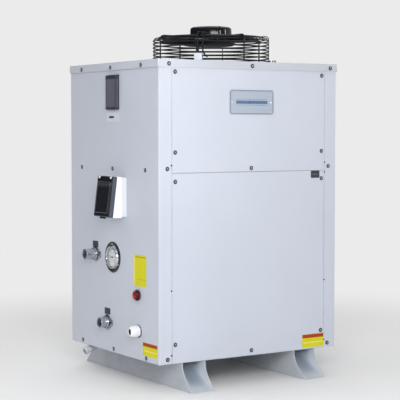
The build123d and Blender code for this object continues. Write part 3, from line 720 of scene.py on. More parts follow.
# pan head with pressed washer (material 0) on a dark ring (material 1) that is painted shade round the head
PAN = cross_head(2.2, 3.4, [(3.1, 2.9), (2.6, 3.5), (2.0, 3.8), (0.8, 3.9)])
PAN.lathe([(0.0, 0.0), (0.0, 0.0072), (0.0006, 0.0075), (0.0010, 0.0073), (0.0013, 0.0062), (0.0014, 0.0041), (0.0012, 0.0)], (0, 0, 0), (0, 0, 1), 28, 1)
SMALL = cross_head(1.5, 1.7, [(1.6, 2.1), (1.2, 2.6), (0.5, 2.8), (0.0, 2.8)])
HEX = Geo()
_h = [(math.cos(math.pi / 3 * i) * 0.0057, math.sin(math.pi / 3 * i) * 0.0057) for i in range(6)]
HEX.slab(_h, ((0, 0, 0.0014), (1, 0, 0), (0, 1, 0), (0, 0, 1)), 0.0040, 0.0006, 2, 0)
HEX.lathe([(0.0, 0.0), (0.0, 0.0078), (0.0011, 0.0078), (0.0014, 0.0075), (0.0014, 0.0)], (0, 0, 0), (0, 0, 1), 28, 0)
HEX.lathe([(0.0054, 0.0), (0.0054, 0.0030), (0.0078, 0.0028), (0.0082, 0.0)], (0, 0, 0), (0, 0, 1), 16, 0)

YL, XL = YF - LIP, X0 - LIP
screws = Geo()


def screw(p, n, t=None, k=1.0):
    stamp(screws, t or PAN, xf(p, n, random.uniform(0, 1.5)), k)


for sgn, face in ((-1, YF), (1, -YF)):          # front, and the back like it
    n = (0, sgn, 0)
    for x in (-336, 3, 346):
        screw((x * MM, face + sgn * LIP, 1.110), n)
    for x in (-310, 310):
        for z in (1083, 812, 713, 160):
            screw((x * MM, face, z * MM), n)
    for x, z in ((-341, 757), (341, 757), (2, 755), (-340, 111), (340, 111), (4, 113)):
        screw((x * MM, face, z * MM), n)
for sgn in (-1, 1):                              # service side, and the far side like it
    n = (sgn, 0, 0)
    fx = sgn * 0.375
    for y in (226, 7, -208) if sgn < 0 else ():
        screw((fx + sgn * LIP, y * MM, 1.108), n)
    for y in (233, -1, -231):
        screw((fx, y * MM, 0.751), n)
    for y, z in ((231, 110), (-5, 108), (-235, 107)):
        screw((fx, y * MM, z * MM), n)
screws.make("panel_screws", [SCREW_M, SEAL_AND_SHADE], slot="polished_metal")

# painted shade: strips set into the gaps between the panels, their dark colour standing for the shade in the seams
gk = Geo()
for sgn in (-1, 1):
    for x in (-1, 1):
        gk.rbox(x * 0.3249 - 0.00082, x * 0.3249 + 0.00082, min(sgn * 0.3188, sgn * 0.3194), max(sgn * 0.3188, sgn * 0.3194), 0.098, 1.121, 0.0)
    gk.rbox(-0.3222, 0.3222, min(sgn * 0.3188, sgn * 0.3194), max(sgn * 0.3188, sgn * 0.3194), 0.7412, 0.7428, 0.0)
gk.make("seam_shade_strips", SEAM_SHADE, slot="foot_paint", smooth=30)

# push-in clips that close the panel seams
clips = Geo()
for x, z in ((-324.5, 768), (325.0, 771), (325.0, 736), (-324.5, 344), (-324.5, 124), (325.0, 344), (325.0, 124)):
    for sgn in (-1, 1):
        clips.lathe([(-0.002, 0.0), (-0.002, 0.0012), (0.0, 0.0031), (0.0007, 0.0029), (0.0012, 0.0016), (0.0013, 0.0)],
                    (x * MM, sgn * 0.320, z * MM), (0, sgn, 0), 14)
clips.make("seam_clips", SEAL_AND_SHADE, slot="dark_plastic")


# ------------------------------------------------------------------ plain tags
def tag(name, plane, w, h, mats, bands=(), r=1.0, t=0.16, slot=None):
    """bands: (u0, u1, v0, v1, material index) rectangles laid on the tag, in mm from its middle"""
    g = Geo()
    g.slab([(x * MM, y * MM) for x, y in rrect(w, h, r)], plane, t * MM, 0.05 * MM, 1, 0)
    o, u, v, n = (Vector(q) for q in plane)
    for u0, u1, v0, v1, mi in bands:
        rr = min(0.3, abs(u1 - u0) / 4, abs(v1 - v0) / 4)
        pts = [(((u0 + u1) / 2 + x) * MM, ((v0 + v1) / 2 + y) * MM) for x, y in rrect(u1 - u0, v1 - v0, rr, 2)]
        g.slab(pts, (o + n * (t * 0.8 * MM), u, v, n), (t * 0.2 + 0.06) * MM, 0.0, 1, mi)
    return g.make(name, mats, slot=slot or "dial_white", smooth=30)


tag("pale_label", left_plane(-7.5 * MM, 933.5 * MM), 89, 31, [PALE, INK], [(-30.5, 5.5, -4.0, 3.2, 1)], 1.5)
for k, (y, z) in enumerate(((129, 473.5), (40, 238.5))):
    tag("port_label_%d" % (k + 1), left_plane(y * MM, z * MM), 42, 23, [DARKTAG, GREYINK],
        [(-17, -4, 3.6, 5.0, 1), (2, 16, 3.6, 5.0, 1), (-17, -6, -5.0, -3.6, 1), (2, 13, -5.0, -3.6, 1)], 1.2, slot="dark_plastic")
tag("yellow_tag", left_plane(-192.5 * MM, 404 * MM), 89, 108, [YELLOW, PALEYEL, INK],
    [(-43.5, -32.5, -53, 53, 1), (-31, 43, 46.5, 48.0, 2), (-31, 43, -30.0, -29.4, 2)], 2.0)
tag("low_tag_side", left_plane(-261.5 * MM, 138.5 * MM), 99, 45, [YELLOW, ORANGE, PALEYEL], [(-48.5, 48.5, 9.5, 21.5, 1), (-44, 44, -8.0, -3.5, 2)], 2.0)
tag("low_tag_front", front_plane(275.5 * MM, 125 * MM), 97, 48, [YELLOW, ORANGE, PALEYEL], [(-47.5, 47.5, 10, 23, 1), (-43, 43, -9.0, -4.0, 2)], 2.0)
tag("dark_label_front", front_plane(282.5 * MM, 728 * MM), 39, 26, [DARKTAG, GREYINK], [(-16, 16, -1.2, 1.4, 1)], 1.5, slot="dark_plastic")

# plain enamelled bands across the plate, and two rivets
mot = Geo()
pl = front_plane(3 * MM, 984 * MM, 0.0010)
for v0_, v1_, i_ in ((-5.5, 5.5, 0), (9.5, 11.0, 1), (-11.0, -9.5, 1)):
    mot.slab([(x * MM, y * MM) for x, y in ((-66, v0_), (66, v0_), (66, v1_), (-66, v1_))], pl, 0.0003, 0.0001, 1, i_)
mot.make("plate_bands", [BLUE_INK, BAND_GREY], slot="plate_metal")
riv = Geo()
for x in (-79, 85):
    riv.lathe([(0, 0), (0, 0.0026), (0.0006, 0.0024), (0.0011, 0.0015), (0.0013, 0.0)], (x * MM, YF - 0.0010, 984 * MM), (0, -1, 0), 20)
riv.make("plate_rivets", CHROME, slot="polished_metal")

# ------------------------------------------------------------------ fan guard
FC = Vector((FAN[0], FAN[1], 0))


def pol(r, a, z):
    """a point at radius r (mm), angle a (degrees) and height z (mm) about the fan axis"""
    return Vector((FAN[0] + r * MM * math.cos(math.radians(a)), FAN[1] + r * MM * math.sin(math.radians(a)), z * MM))


def arc_path(pts, r, n=7):
    """rounds the corners of a path, all in metres"""
    pts = [Vector(p) for p in pts]
    out = [pts[0]]
    for a, b, c in zip(pts, pts[1:], pts[2:]):
        u, w = (a - b), (c - b)
        lu, lw = u.length, w.length
        u, w = u / lu, w / lw
        ang = math.acos(max(-1, min(1, u.dot(w))))
        d = min(r / math.tan(ang / 2), lu * 0.49, lw * 0.49)
        p0, p1 = b + u * d, b + w * d
        for i in range(n + 1):
            t = i / n
            out.append(p0 * (1 - t) ** 2 + b * 2 * t * (1 - t) + p1 * t * t)
    out.append(pts[-1])
    return out


gd = Geo()
for z in (1137.7, 1150.3, 1163, 1176, 1189.3, 1202.6, 1214.5):
    gd.ring((FAN[0], FAN[1], z * MM), 0.2127, 0.00245, (0, 0, 1), 128, 8)
gd.ring((FAN[0], FAN[1], 1.2215), 0.2080, 0.0021, (0, 0, 1), 128, 8)
for r in (194, 182, 170, 158, 146, 134, 122, 110, 98, 86):
    gd.ring((FAN[0], FAN[1], 1.2260), r * MM, 0.0018, (0, 0, 1), 112 if r > 140 else 72, 6)
for k in range(8):
    a = 45 * k
    thick = k % 2 == 0
    rr = 2.7 if thick else 1.7
    ro = 214.6 + rr
    foot_r = [pol(ro, a, 1126.0)] if thick else [pol(ro + 20, a, 1129.0), pol(ro, a, 1129.0)]
    path = arc_path(foot_r + [pol(ro, a, 1228.2 + 0.6), pol(78, a, 1228.8)], 0.016, 8) if thick else \
        arc_path(foot_r + [pol(ro, a, 1228.8), pol(78, a, 1228.8)], 0.013, 7)
    gd.tube(path, rr * MM, 10, 0)
plate_prof = [(1.2262, 0.0600), (1.2262, 0.0815), (1.2268, 0.0822), (1.2284, 0.0822), (1.2290, 0.0815), (1.2290, 0.0600)]
gd.lathe(plate_prof, (FAN[0], FAN[1], 0), (0, 0, 1), 72, 0, closed=True)
for k in range(4):
    a = 45 + 90 * k
    m = Matrix.Translation((FAN[0], FAN[1], 0)) @ Matrix.Rotation(math.radians(a), 4, "Z")
    o, u, w, n = m @ Vector((0.2265, 0, Z_TOP + 0.0001)), m.to_3x3() @ Vector((1, 0, 0)), m.to_3x3() @ Vector((0, 1, 0)), Vector((0, 0, 1))
    gd.slab([(x * MM, y * MM) for x, y in rrect(38, 28, 5)], (o, u, w, n), 0.0028, 0.0006, 2, 0)
gd.make("fan_guard_wire", WIRE_M, slot="black_wire", replaces=("fan_guard",))
gb = Geo()
for k in range(4):
    a = 45 + 90 * k
    spots = {2: (), 3: ((221.5, -4), (231.5, 5), (241.0, -4))}.get(k, ((234, -9), (234, 9)))
    for r, s in spots:
        stamp(gb, HEX, xf(pol(r, a + s / 4.08, 1127.9), (0, 0, 1), 0.3 + k + s), 0.8)
        p = pol(r, a + s / 4.08, 0)
        top = 1.1405 if k == 3 else 1.1372
        gb.lathe([(1.1310, 0.0), (1.1310, 0.0027), (top, 0.0027), (top + 0.0008, 0.0019), (top + 0.0008, 0.0)], (p.x, p.y, 0), (0, 0, 1), 12, 0)
gb.make("guard_bolts", BOLT_DARK, slot="polished_metal")

# ------------------------------------------------------------------ motor and rotor
mo = Geo()
cap = [(1224.0, 10.2), (1224.0, 57.5), (1225.2, 58.0), (1229.1, 58.0), (1229.1, 72.5), (1229.8, 75.0), (1231.4, 76.2), (1236.0, 76.6),
       (1242.6, 76.45), (1243.0, 75.9), (1243.6, 75.9), (1244.0, 76.4), (1256.5, 75.8), (1259.6, 75.3), (1262.2, 73.6), (1264.2, 70.6), (1265.3, 66.0),
       (1266.4, 55.0), (1266.9, 46.0), (1266.3, 44.6), (1266.3, 43.2), (1267.0, 42.0), (1267.9, 22.0), (1268.0, 0.0)]
mo.lathe([(z * MM, r * MM) for z, r in cap], (FAN[0], FAN[1], 0), (0, 0, 1), 128, 0)
mo.make("motor_can", GLOSS, slot="black_gloss", replaces=("fan_motor",), smooth=28)
ms = Geo()
for a in (30, 150, 270):
    stamp(ms, SMALL, xf(pol(60, a, 1265.7), (0, 0, 1), a * 0.02), 1.3)
for a in (0, 90, 180, 270):
    stamp(ms, SMALL, xf(pol(80.0, a + 22, 1228.9), (0, 0, 1), a * 0.03), 0.9)
ms.make("motor_screws", ZINC, slot="polished_metal")

ro = Geo()
hub = [(1196.0, 0.0), (1196.0, 70.0), (1196.3, 76.0), (1197.4, 81.5), (1199.4, 85.6), (1202.0, 87.6), (1205.0, 87.6), (1209.0, 85.8), (1218.5, 77.0),
       (1218.5, 9.7), (1223.0, 9.7), (1223.0, 0.0)]
ro.lathe([(z * MM, r * MM) for z, r in hub], (FAN[0], FAN[1], 0), (0, 0, 1), 96, 0)
ro.lathe([(z * MM, r * MM) for z, r in [(1217.5, 0.0), (1217.5, 9.4), (1247.0, 9.4), (1247.6, 8.8), (1247.6, 0.0)]], (FAN[0], FAN[1], 0), (0, 0, 1), 32, 1)
for k in range(6):
    a = 60 * k + 12
    m = Matrix.Translation((FAN[0], FAN[1], 0)) @ Matrix.Rotation(math.radians(a), 4, "Z")
    ro.slab([(0.016, -0.0011), (0.0775, -0.0011), (0.0775, 0.0011), (0.016, 0.0011)],
            (m @ Vector((0, 0, 1.1965)), m.to_3x3() @ Vector((1, 0, 0)), m.to_3x3() @ Vector((0, 1, 0)), (0, 0, -1)), 0.0004, 0.0, 1, 0)
NU, NV = 14, 12
for k in range(5):
    top, bot = [], []
    for i in range(NU + 1):
        s = i / NU
        r = 84.0 + (191.5 - 84.0) * s
        mid = 72 * k + 10 + 13.0 * s ** 1.4
        half = (40.0 + 18.0 * s - 3.0 * s * s) / r           # radians: half chord over radius
        pitch = math.radians(12.0 - 5.0 * s)
        for j in range(NV + 1):
            q = -1 + 2 * j / NV
            # rounded leading tip, sickle trailing edge
            hh = half * (1 - (0.10 * s ** 6 if q > 0 else 0.22 * s ** 5))
            a = math.degrees(q * hh) + mid + 3.0 * math.sin(math.pi * s) * (1 if q < 0 else 0.4)
            zc = 1211.0 + q * hh * r * math.tan(pitch) + 1.6 * (1 - q * q) - 0.8
            th = 1.35 * (1 - 0.75 * abs(q) ** 4) * (1 - 0.25 * s)
            top.append(pol(r, a, min(zc + th, 1221.5)))
            bot.append(pol(r, a, zc - th))
    n0 = (NU + 1) * (NV + 1)
    idx = lambda i, j: i * (NV + 1) + j
    faces = []
    for i in range(NU):
        for j in range(NV):
            faces.append((idx(i, j), idx(i + 1, j), idx(i + 1, j + 1), idx(i, j + 1)))
            faces.append((n0 + idx(i, j), n0 + idx(i, j + 1), n0 + idx(i + 1, j + 1), n0 + idx(i + 1, j)))
    for i in range(NU):
        faces.append((idx(i, 0), n0 + idx(i, 0), n0 + idx(i + 1, 0), idx(i + 1, 0)))
        faces.append((idx(i, NV), idx(i + 1, NV), n0 + idx(i + 1, NV), n0 + idx(i, NV)))
    for j in range(NV):
        faces.append((idx(0, j), idx(0, j + 1), n0 + idx(0, j + 1), n0 + idx(0, j)))
        faces.append((idx(NU, j), n0 + idx(NU, j), n0 + idx(NU, j + 1), idx(NU, j + 1)))
    ro.add(top + bot, faces, 0)
ro.make("rotor_blades", [BLADE_M, ZINC], body="fan_rotor", slot="black_gloss", replaces=("fan_rotor",), smooth=32)

# ------------------------------------------------------------------ motor leads and terminal block trim
ca = math.radians(225.0)


def near(r, along, z):
    return Vector((FAN[0] + (r * math.cos(ca) - along * math.sin(ca)) * MM, FAN[1] + (r * math.sin(ca) + along * math.cos(ca)) * MM, z * MM))


ld = Geo()
BT = 1125 + 34
ld.tube(arc_path([near(79, 3, 1236.2), near(150, 2.6, 1234.6), near(205, 1.6, 1234.4), near(228, 0.4, 1232.6), near(228, 0, BT + 20)], 0.022, 9), 0.0030, 14)
ld.tube(arc_path([near(79, 11, 1236.2), near(150, 14, 1234.2), near(202, 17.6, 1233.6), near(222.5, 18, 1231.6), near(223, 18.4, 1166), near(219, 27, 1150), near(213, 33, 1147)], 0.018, 9), 0.0028, 14)
boot = [(-0.4, 0.0), (-0.4, 6.6), (1.2, 6.9), (3.6, 6.9), (5.0, 6.2), (8.0, 6.0), (8.7, 5.4), (9.6, 5.4), (10.3, 5.8), (13.0, 5.6), (13.7, 5.0), (14.6, 5.0), (15.3, 5.3),
        (18.0, 5.1), (18.7, 4.6), (19.6, 4.6), (20.3, 4.9), (24.0, 4.6), (25.0, 3.6), (25.2, 0.0)]
ld.lathe([(z * MM, r * MM) for z, r in boot], near(228, 0, BT), (0, 0, 1), 28, 0)
m = Matrix.Translation((FAN[0], FAN[1], 0)) @ Matrix.Rotation(ca, 4, "Z")
ld.rbox(0.0762, 0.0902, -0.0030, 0.0170, 1.2312, 1.2424, 0.0025, 3, 0, m)
for s in (100, 188):                                          # ties that hold the leads to the rib
    ld.rbox(s * MM, (s + 4) * MM, -0.0036, 0.0200, 1.2272, 1.2378, 0.0009, 2, 0, m)
ld.make("motor_leads", RUBBER, slot="cable_black", replaces=("motor_cable",), smooth=40)
bt = Geo()
bt.rbox(0.2402, 0.2416, -0.0075, 0.0155, 1.1325, 1.1555, 0.0006, 2, 0, m)
for y, z in ((-5.5, 1131), (13.5, 1131), (-5.5, 1157 - 3), (13.5, 1157 - 3)):
    p = m @ Vector((0.2410, y * MM, z * MM))
    if z < 1140:
        stamp(bt, SMALL, xf(p, m.to_3x3() @ Vector((1, 0, 0)), y), 0.85)
bt.make("terminal_trim", WHITE, slot="white_plastic")

# ------------------------------------------------------------------ coils: fins, tubes and end plates
def coil(name, node, along, a0, a1, d0, d1, z0, z1):
    """along: 'x' or 'y'. Thin upright fins across the coil's length, bends at both ends."""
    g = Geo()

    def bxx(p0, p1, q0, q1, za, zb, mi):
        lo, hi = ((p0, q0, za), (p1, q1, zb)) if along == "x" else ((q0, p0, za), (q1, p1, zb))
        v = [(x, y, z) for x in (lo[0], hi[0]) for y in (lo[1], hi[1]) for z in (lo[2], hi[2])]
        v = [tuple(c * MM for c in p) for p in v]
        g.add(v, [(0, 1, 3, 2), (4, 6, 7, 5), (0, 4, 5, 1), (2, 3, 7, 6), (0, 2, 6, 4), (1, 5, 7, 3)], mi)
    end = 9.0
    p = a0 + end
    step = 2.3
    while p < a1 - end:
        bxx(p, p + 0.35, d0 + 0.6, d1 - 0.6, z0 + 1, z1 - 1, 0)
        p += step
    for q in (a0 + end - 2, a1 - end):
        bxx(q, q + 1.6, d0, d1, z0, z1, 1)
    dm = (d0 + d1) / 2
    rows = int((z1 - z0 - 16) // 25)
    for i in range(rows):
        z = z0 + 20 + 25 * i
        for off in (-9, 9):
            pa = (a0 + end - 1, dm + off, z + (6 if off > 0 else 0))
            pb = (a1 - end + 1, dm + off, z + (6 if off > 0 else 0))
            A, B = ((pa[0], pa[1], pa[2]), (pb[0], pb[1], pb[2])) if along == "x" else ((pa[1], pa[0], pa[2]), (pb[1], pb[0], pb[2]))
            g.tube([tuple(c * MM for c in A), tuple(c * MM for c in B)], 0.0042, 8, 2)
        for s, q in ((-1, a0 + end - 1), (1, a1 - end + 1)):
            pts = []
            for j in range(9):
                t = math.pi * j / 8
                d = dm - 9 * math.cos(t)
                e = q + s * 6.5 * math.sin(t)
                zz = z + 3 - 3 * math.cos(t)
                pts.append(tuple(c * MM for c in ((e, d, zz) if along == "x" else (d, e, zz))))
            g.tube(pts, 0.0042, 8, 2)
    g.make(name, [FINS, GALV, COPPER], slot="coil_fins", replaces=(node,), smooth=30)


coil("coil_fins_back", "coil_back", "x", -345, 300, 272, 308, 770, 1104)
coil("coil_fins_right", "coil_right", "y", -290, 262, 325, 361, 770, 1104)


def wire_guard(name, node, u0, u1, z0, z1, plane, nu, nz):
    """round wires in a round frame; plane(u, z, off) gives a point, off outwards from the panel"""
    g = Geo()
    fr = arc_path([plane((u0 + u1) / 2, z0 + 3, 2), plane(u1 - 3, z0 + 3, 2), plane(u1 - 3, z1 - 3, 2), plane(u0 + 3, z1 - 3, 2), plane(u0 + 3, z0 + 3, 2), plane((u0 + u1) / 2 - 0.01, z0 + 3, 2)], 0.012, 6)
    g.tube(fr[:-1], 0.0019, 8, 0, closed=True, up=(plane(0, 0, 3) - plane(0, 0, 2)))
    for i in range(1, nu):
        u = u0 + (u1 - u0) * i / nu
        g.tube([plane(u, z0 + 3, 2.9), plane(u, z1 - 3, 2.9)], 0.0012, 6)
    for i in range(1, nz):
        z = z0 + (z1 - z0) * i / nz
        g.tube([plane(u0 + 3, z, 1.2), plane(u1 - 3, z, 1.2)], 0.0012, 6)
    for u in (u0 + 3, (u0 + u1) / 2, u1 - 3):
        for z in (z0 + 3, z1 - 3):
            nn = plane(0, 0, 3) - plane(0, 0, 2)
            stamp(g, SMALL, xf(plane(u, z, 3.4), nn, u), 1.0)
    g.make(name, WIRE_M, slot="black_wire", replaces=(node,), smooth=40)


wire_guard("guard_wires_back", "coil_guard_back", -297, 297, 783, 1083, lambda u, z, o: Vector((u * MM, (318.5 - 4 + o) * MM, z * MM)), 22, 6)
wire_guard("guard_wires_right", "coil_guard_right", -269, 269, 783, 1083, lambda u, z, o: Vector(((373.5 - 4 + o) * MM, u * MM, z * MM)), 20, 6)


# ------------------------------------------------------------------ display window
WY0, WY1, WZ0, WZ1 = -51.0, 31.0, 958.5, 1081.5


def lp(y, z, off):
    return Vector((X0 - off * MM, y * MM, z * MM))


wd = Geo()
wy, wz = (WY0 + WY1) / 2, (WZ0 + WZ1) / 2
# a screen behind the pane, dark marks on it, and four small pale marks below it
scr = left_plane(wy * MM, (WZ1 - 42) * MM, 0.0041)
wd.slab([(x * MM, y * MM) for x, y in rrect(45, 38, 1.2)], scr, 0.0008, 0.0002, 1, 0)
scr2 = left_plane(wy * MM, (WZ1 - 42) * MM, 0.0049)
for i in range(3):
    wd.slab([((x - 15 + 11 * i) * MM, (y + 4) * MM) for x, y in rrect(7, 13, 0.8)], scr2, 0.0001, 0, 1, 1)
for i in range(6):
    wd.slab([((x - 17.5 + 7 * i) * MM, (y - 12) * MM) for x, y in rrect(4.6, 2.2, 0.5)], scr2, 0.0001, 0, 1, 1)
for i in range(4):
    by = WY0 + 19 + 13.4 * i
    pl_ = left_plane((by + 4.25) * MM, (WZ0 + 27.5) * MM, 0.0062)
    wd.slab([(x * MM, y * MM) for x, y in rrect(3.2, 1.0, 0.3)], pl_, 0.00012, 0, 1, 2)
wd.make("display_screen", [LCD, INK, PALE], slot="dark_plastic")
wt = Geo()
for y in (WY0 + 5.5, WY1 - 5.5):
    for z in (WZ0 + 5.5, WZ1 - 6.5):
        stamp(wt, SMALL, xf(lp(y, z, 11.0), (-1, 0, 0), y + z), 0.9)
wt.make("window_screws", DARKMETAL, slot="dark_plastic")

# ------------------------------------------------------------------ isolator: what shows when its cover is open
iy0, iy1 = -84.0, -12.0
it = Geo()
for k in range(4):
    y = -75 + 18 * k
    for z in (637, 669):
        stamp(it, SMALL, xf(Vector((X0 - 0.0430, y * MM, z * MM)), (-1, 0, 0), k), 0.8)
for k in range(3):
    y = -66 + 18 * k
    it.slab([(x * MM, yy * MM) for x, yy in rrect(0.7, 45, 0.2)], left_plane(y * MM, 0.653, 0.0430), 0.0001, 0, 1, 1)
it.make("isolator_trim", [ZINC, INK], slot="grey_plastic")
# raised bead round the cover's inset panel, in a lighter colour that is painted highlight, and the white hinge buttons
# in its two notches
TH = math.atan2(17.9, 143.0)
BOXY = (-103.0, 7.0)
CN, CV, CU = Vector((-math.cos(TH), 0, math.sin(TH))), Vector((math.sin(TH), 0, math.cos(TH))), Vector((0, -1, 0))


def cover_plane(y, z, out):
    """a plane on the isolator cover: y across, z down from the box's top edge, out from the box's front, all in mm"""
    return (Vector((X0 - 0.0366, 0, 0.725)) + CN * (out * MM) + CV * (z * MM) + Vector((0, y * MM, 0)), CU, CV, CN)


cr = Geo()
by0, by1 = BOXY[0] + 10.2, BOXY[1] - 10.2
for y0_, y1_, z0_, z1_ in ((by0, by0 + 1.5, -129.6, -20.4), (by1 - 1.0, by1, -129.6, -20.4), (by0, by1, -129.6, -128.2), (by0, by1, -21.2, -20.4)):
    cr.slab([((x - (y0_ + y1_) / 2) * MM, (q - (z0_ + z1_) / 2) * MM) for x, q in ((y0_, z0_), (y1_, z0_), (y1_, z1_), (y0_, z1_))],
            cover_plane((y0_ + y1_) / 2, (z0_ + z1_) / 2, 20.55), 0.00036, 0.0001, 1, 0)
# a second step line down the right side, on the sloping margin
# painted highlight: this line too is in the lighter edge colour
cr.slab([(x * MM, q * MM) for x, q in ((-0.45, -62), (0.45, -62), (0.45, 54), (-0.45, 54))], cover_plane(BOXY[0] + 5.2, -72.0, 18.95), 0.0003, 0.0001, 1, 0)
for ye in (BOXY[0] + 14.0, BOXY[1] - 14.0):
    half = [(8.2 * math.cos(math.radians(a)), 8.2 * math.sin(math.radians(a))) for a in range(180, 361, 15)]
    cr.slab([(x * MM, q * MM) for x, q in [(-8.2, -1.6)] + [q_ for q_ in half if q_[1] < -1.7] + [(8.2, -1.6)]][::-1], cover_plane(ye, -3.2, 17.0), 0.0010, 0.0001, 1, 1)
    half = [(6.2 * math.cos(math.radians(a)), 6.2 * math.sin(math.radians(a))) for a in range(180, 361, 12)]
    cr.slab([(x * MM, q * MM) for x, q in [(-6.2, 0.9)] + half + [(6.2, 0.9)]][::-1], cover_plane(ye, -3.2, 17.9), 0.0012, 0.0003, 2, 2)
cr.make("isolator_cover_trim", [COVER_EDGE_HIGHLIGHT, SEAL_AND_SHADE, BUTTON_WHITE], body="isolator_cover", slot="smoked_cover", smooth=30)
rk = Geo()
for k in range(4):
    y = -75 + 18 * k
    rk.rbox(X0 - 0.0500, X0 - 0.0486, (y - 5.2) * MM, (y + 5.2) * MM, 0.6465, 0.6615, 0.0005, 2, 0)
rk.make("isolator_levers", INK, slot="dark_plastic")

# ------------------------------------------------------------------ pressure gauge
GY, GZ = -2.0, 436.0
go = (X0, GY * MM, GZ * MM)
ax = (-1, 0, 0)
gg = Geo()
flange_prof = [(0.0, 42.6), (0.0, 55.0), (1.2, 55.2), (2.2, 54.8), (2.9, 53.6), (3.2, 51.8), (3.0, 49.0), (2.6, 46.4), (2.4, 43.6), (2.2, 42.6)]
gg.lathe([(a * MM, r * MM) for a, r in flange_prof], go, ax, 96, 0, closed=True)
ring_prof = [(0.0, 33.4), (0.0, 42.6), (2.2, 42.6), (2.9, 42.0), (4.4, 41.4), (7.2, 40.7), (8.6, 39.8), (9.1, 38.2), (8.9, 36.6), (8.0, 35.2), (6.6, 34.6), (3.2, 34.4), (2.2, 34.2), (2.2, 33.4)]
gg.lathe([(a * MM, r * MM) for a, r in ring_prof], go, ax, 96, 2, closed=True)
gg.lathe([(-28 * MM, 0), (-28 * MM, 32.4 * MM), (-27.4 * MM, 33 * MM), (0.8 * MM, 33.3 * MM), (1.0 * MM, 33.0 * MM), (1.0 * MM, 0)], go, ax, 64, 1)
gg.make("gauge_body", [FLANGE_BLACK, DARK, GAUGE_RING], slot="polished_metal", replaces=("gauge_case",), smooth=40)
gs = Geo()
for a in (90, 210, 330):
    t = math.radians(a)
    p = Vector((X0 - 2.6 * MM, (GY + 47.5 * math.cos(t)) * MM, (GZ + 47.5 * math.sin(t)) * MM))
    stamp(gs, SMALL, xf(p, ax, a), 1.25)
gs.make("gauge_screws", ZINC, slot="polished_metal")


def dial_pt(r, a, off):
    """a is degrees clockwise from the top, seen from outside the face (right is -Y)"""
    t = math.radians(a)
    return Vector((X0 - off * MM, (GY - r * math.sin(t)) * MM, (GZ + r * math.cos(t)) * MM))


dl = Geo()
dl.lathe([(1.0 * MM, 0.0), (1.0 * MM, 33.9 * MM), (2.0 * MM, 33.9 * MM), (2.05 * MM, 33.6 * MM), (2.05 * MM, 0.0)], go, ax, 72, 0)


def bar(r0, r1, a, w, mi, off=2.05, th=0.12):
    p0, p1 = dial_pt(r0, a, off), dial_pt(r1, a, off)
    u = (p1 - p0).normalized()
    n = Vector(ax)
    v = n.cross(u)
    L = (p1 - p0).length
    dl.slab([(0, -w / 2 * MM), (L, -w / 2 * MM), (L, w / 2 * MM), (0, w / 2 * MM)], (p0, u, v, n), th * MM, 0, 1, mi)


for i in range(51):
    a = -135 + 5.4 * i
    if i % 10 == 0:
        bar(21.5, 31.0, a, 2.0, 1)
    elif i % 5 == 0:
        bar(24.6, 31.0, a, 1.4, 1)
    else:
        bar(27.0, 31.0, a, 0.9, 1)
arc_n = 60
inner, outer = [], []
for i in range(arc_n + 1):
    a = -135 + 270 * i / arc_n
    inner.append(dial_pt(30.8, a, 2.05))
    outer.append(dial_pt(32.2, a, 2.05))
vv, ff = [], []
for i in range(arc_n + 1):
    vv += [inner[i], outer[i], inner[i] + Vector((-0.12 * MM, 0, 0)), outer[i] + Vector((-0.12 * MM, 0, 0))]
for i in range(arc_n):
    p, q = 4 * i, 4 * i + 4
    ff += [(p + 2, p + 3, q + 3, q + 2), (p, q, q + 1, p + 1), (p, p + 2, q + 2, q), (p + 1, q + 1, q + 3, p + 3)]
ff += [(0, 1, 3, 2), (4 * arc_n, 4 * arc_n + 2, 4 * arc_n + 3, 4 * arc_n + 1)]
dl.add(vv, ff, 1)


def glyph(geo, text, size, o, right, up, n, th, mi):
    """plain digits from the built-in font, laid on a plane"""
    cu = bpy.data.curves.new("glyph", "FONT")
    cu.body = text
    cu.size = size
    cu.extrude = th / 2
    cu.align_x, cu.align_y = "CENTER", "CENTER"
    cu.resolution_u = 3
    ob = bpy.data.objects.new("glyph", cu)
    bpy.context.scene.collection.objects.link(ob)
    dg = bpy.context.evaluated_depsgraph_get()
    me_ = bpy.data.meshes.new_from_object(ob.evaluated_get(dg))
    m_ = Matrix((Vector(right), Vector(up), Vector(n))).transposed().to_4x4()
    m_.translation = Vector(o) + Vector(n) * (th / 2)
    geo.add([m_ @ v.co for v in me_.vertices], [tuple(p.vertices) for p in me_.polygons], mi)
    bpy.data.objects.remove(ob)
    bpy.data.curves.remove(cu)
    bpy.data.meshes.remove(me_)


for i, a in enumerate((-135, -81, -27, 27, 81, 135)):
    glyph(dl, str(2 * i), 8.4 * MM, dial_pt(16.2, a, 2.05), (0, -1, 0), (0, 0, 1), ax, 0.12 * MM, 1)
dl.make("gauge_scale", [DIAL, INK], slot="dial_white", replaces=("gauge_dial",), smooth=30)

nd = Geo()
npts = [(-10.0, -1.9), (-10.0, 1.9), (0, 1.6), (26.5, 0.5), (26.5, -0.5), (0, -1.6)]
na = math.radians(180 + 3)                    # lies almost level, pointing to the left
o = Vector((X0 - 3.3 * MM, GY * MM, GZ * MM))
ud = Vector((0, math.cos(math.radians(3)), -math.sin(math.radians(3))))
wdn = Vector(ax).cross(ud)
nd.slab([(x * MM, y * MM) for x, y in npts], (o, ud, wdn, Vector(ax)), 0.0006, 0.0001, 1, 0)
nd.lathe([(2.05 * MM, 0), (2.05 * MM, 3.4 * MM), (4.4 * MM, 3.4 * MM), (4.9 * MM, 2.9 * MM), (5.1 * MM, 1.6 * MM), (5.15 * MM, 0)], go, ax, 28, 0)
nd.make("gauge_pointer", INK, slot="needle_black", replaces=("gauge_needle",), smooth=35)
gl = Geo()
gl.lathe([(5.4 * MM, 0), (5.4 * MM, 33.9 * MM), (6.4 * MM, 34.0 * MM), (6.9 * MM, 33.6 * MM), (7.3 * MM, 24 * MM), (7.5 * MM, 12 * MM), (7.55 * MM, 0)], go, ax, 72, 0)
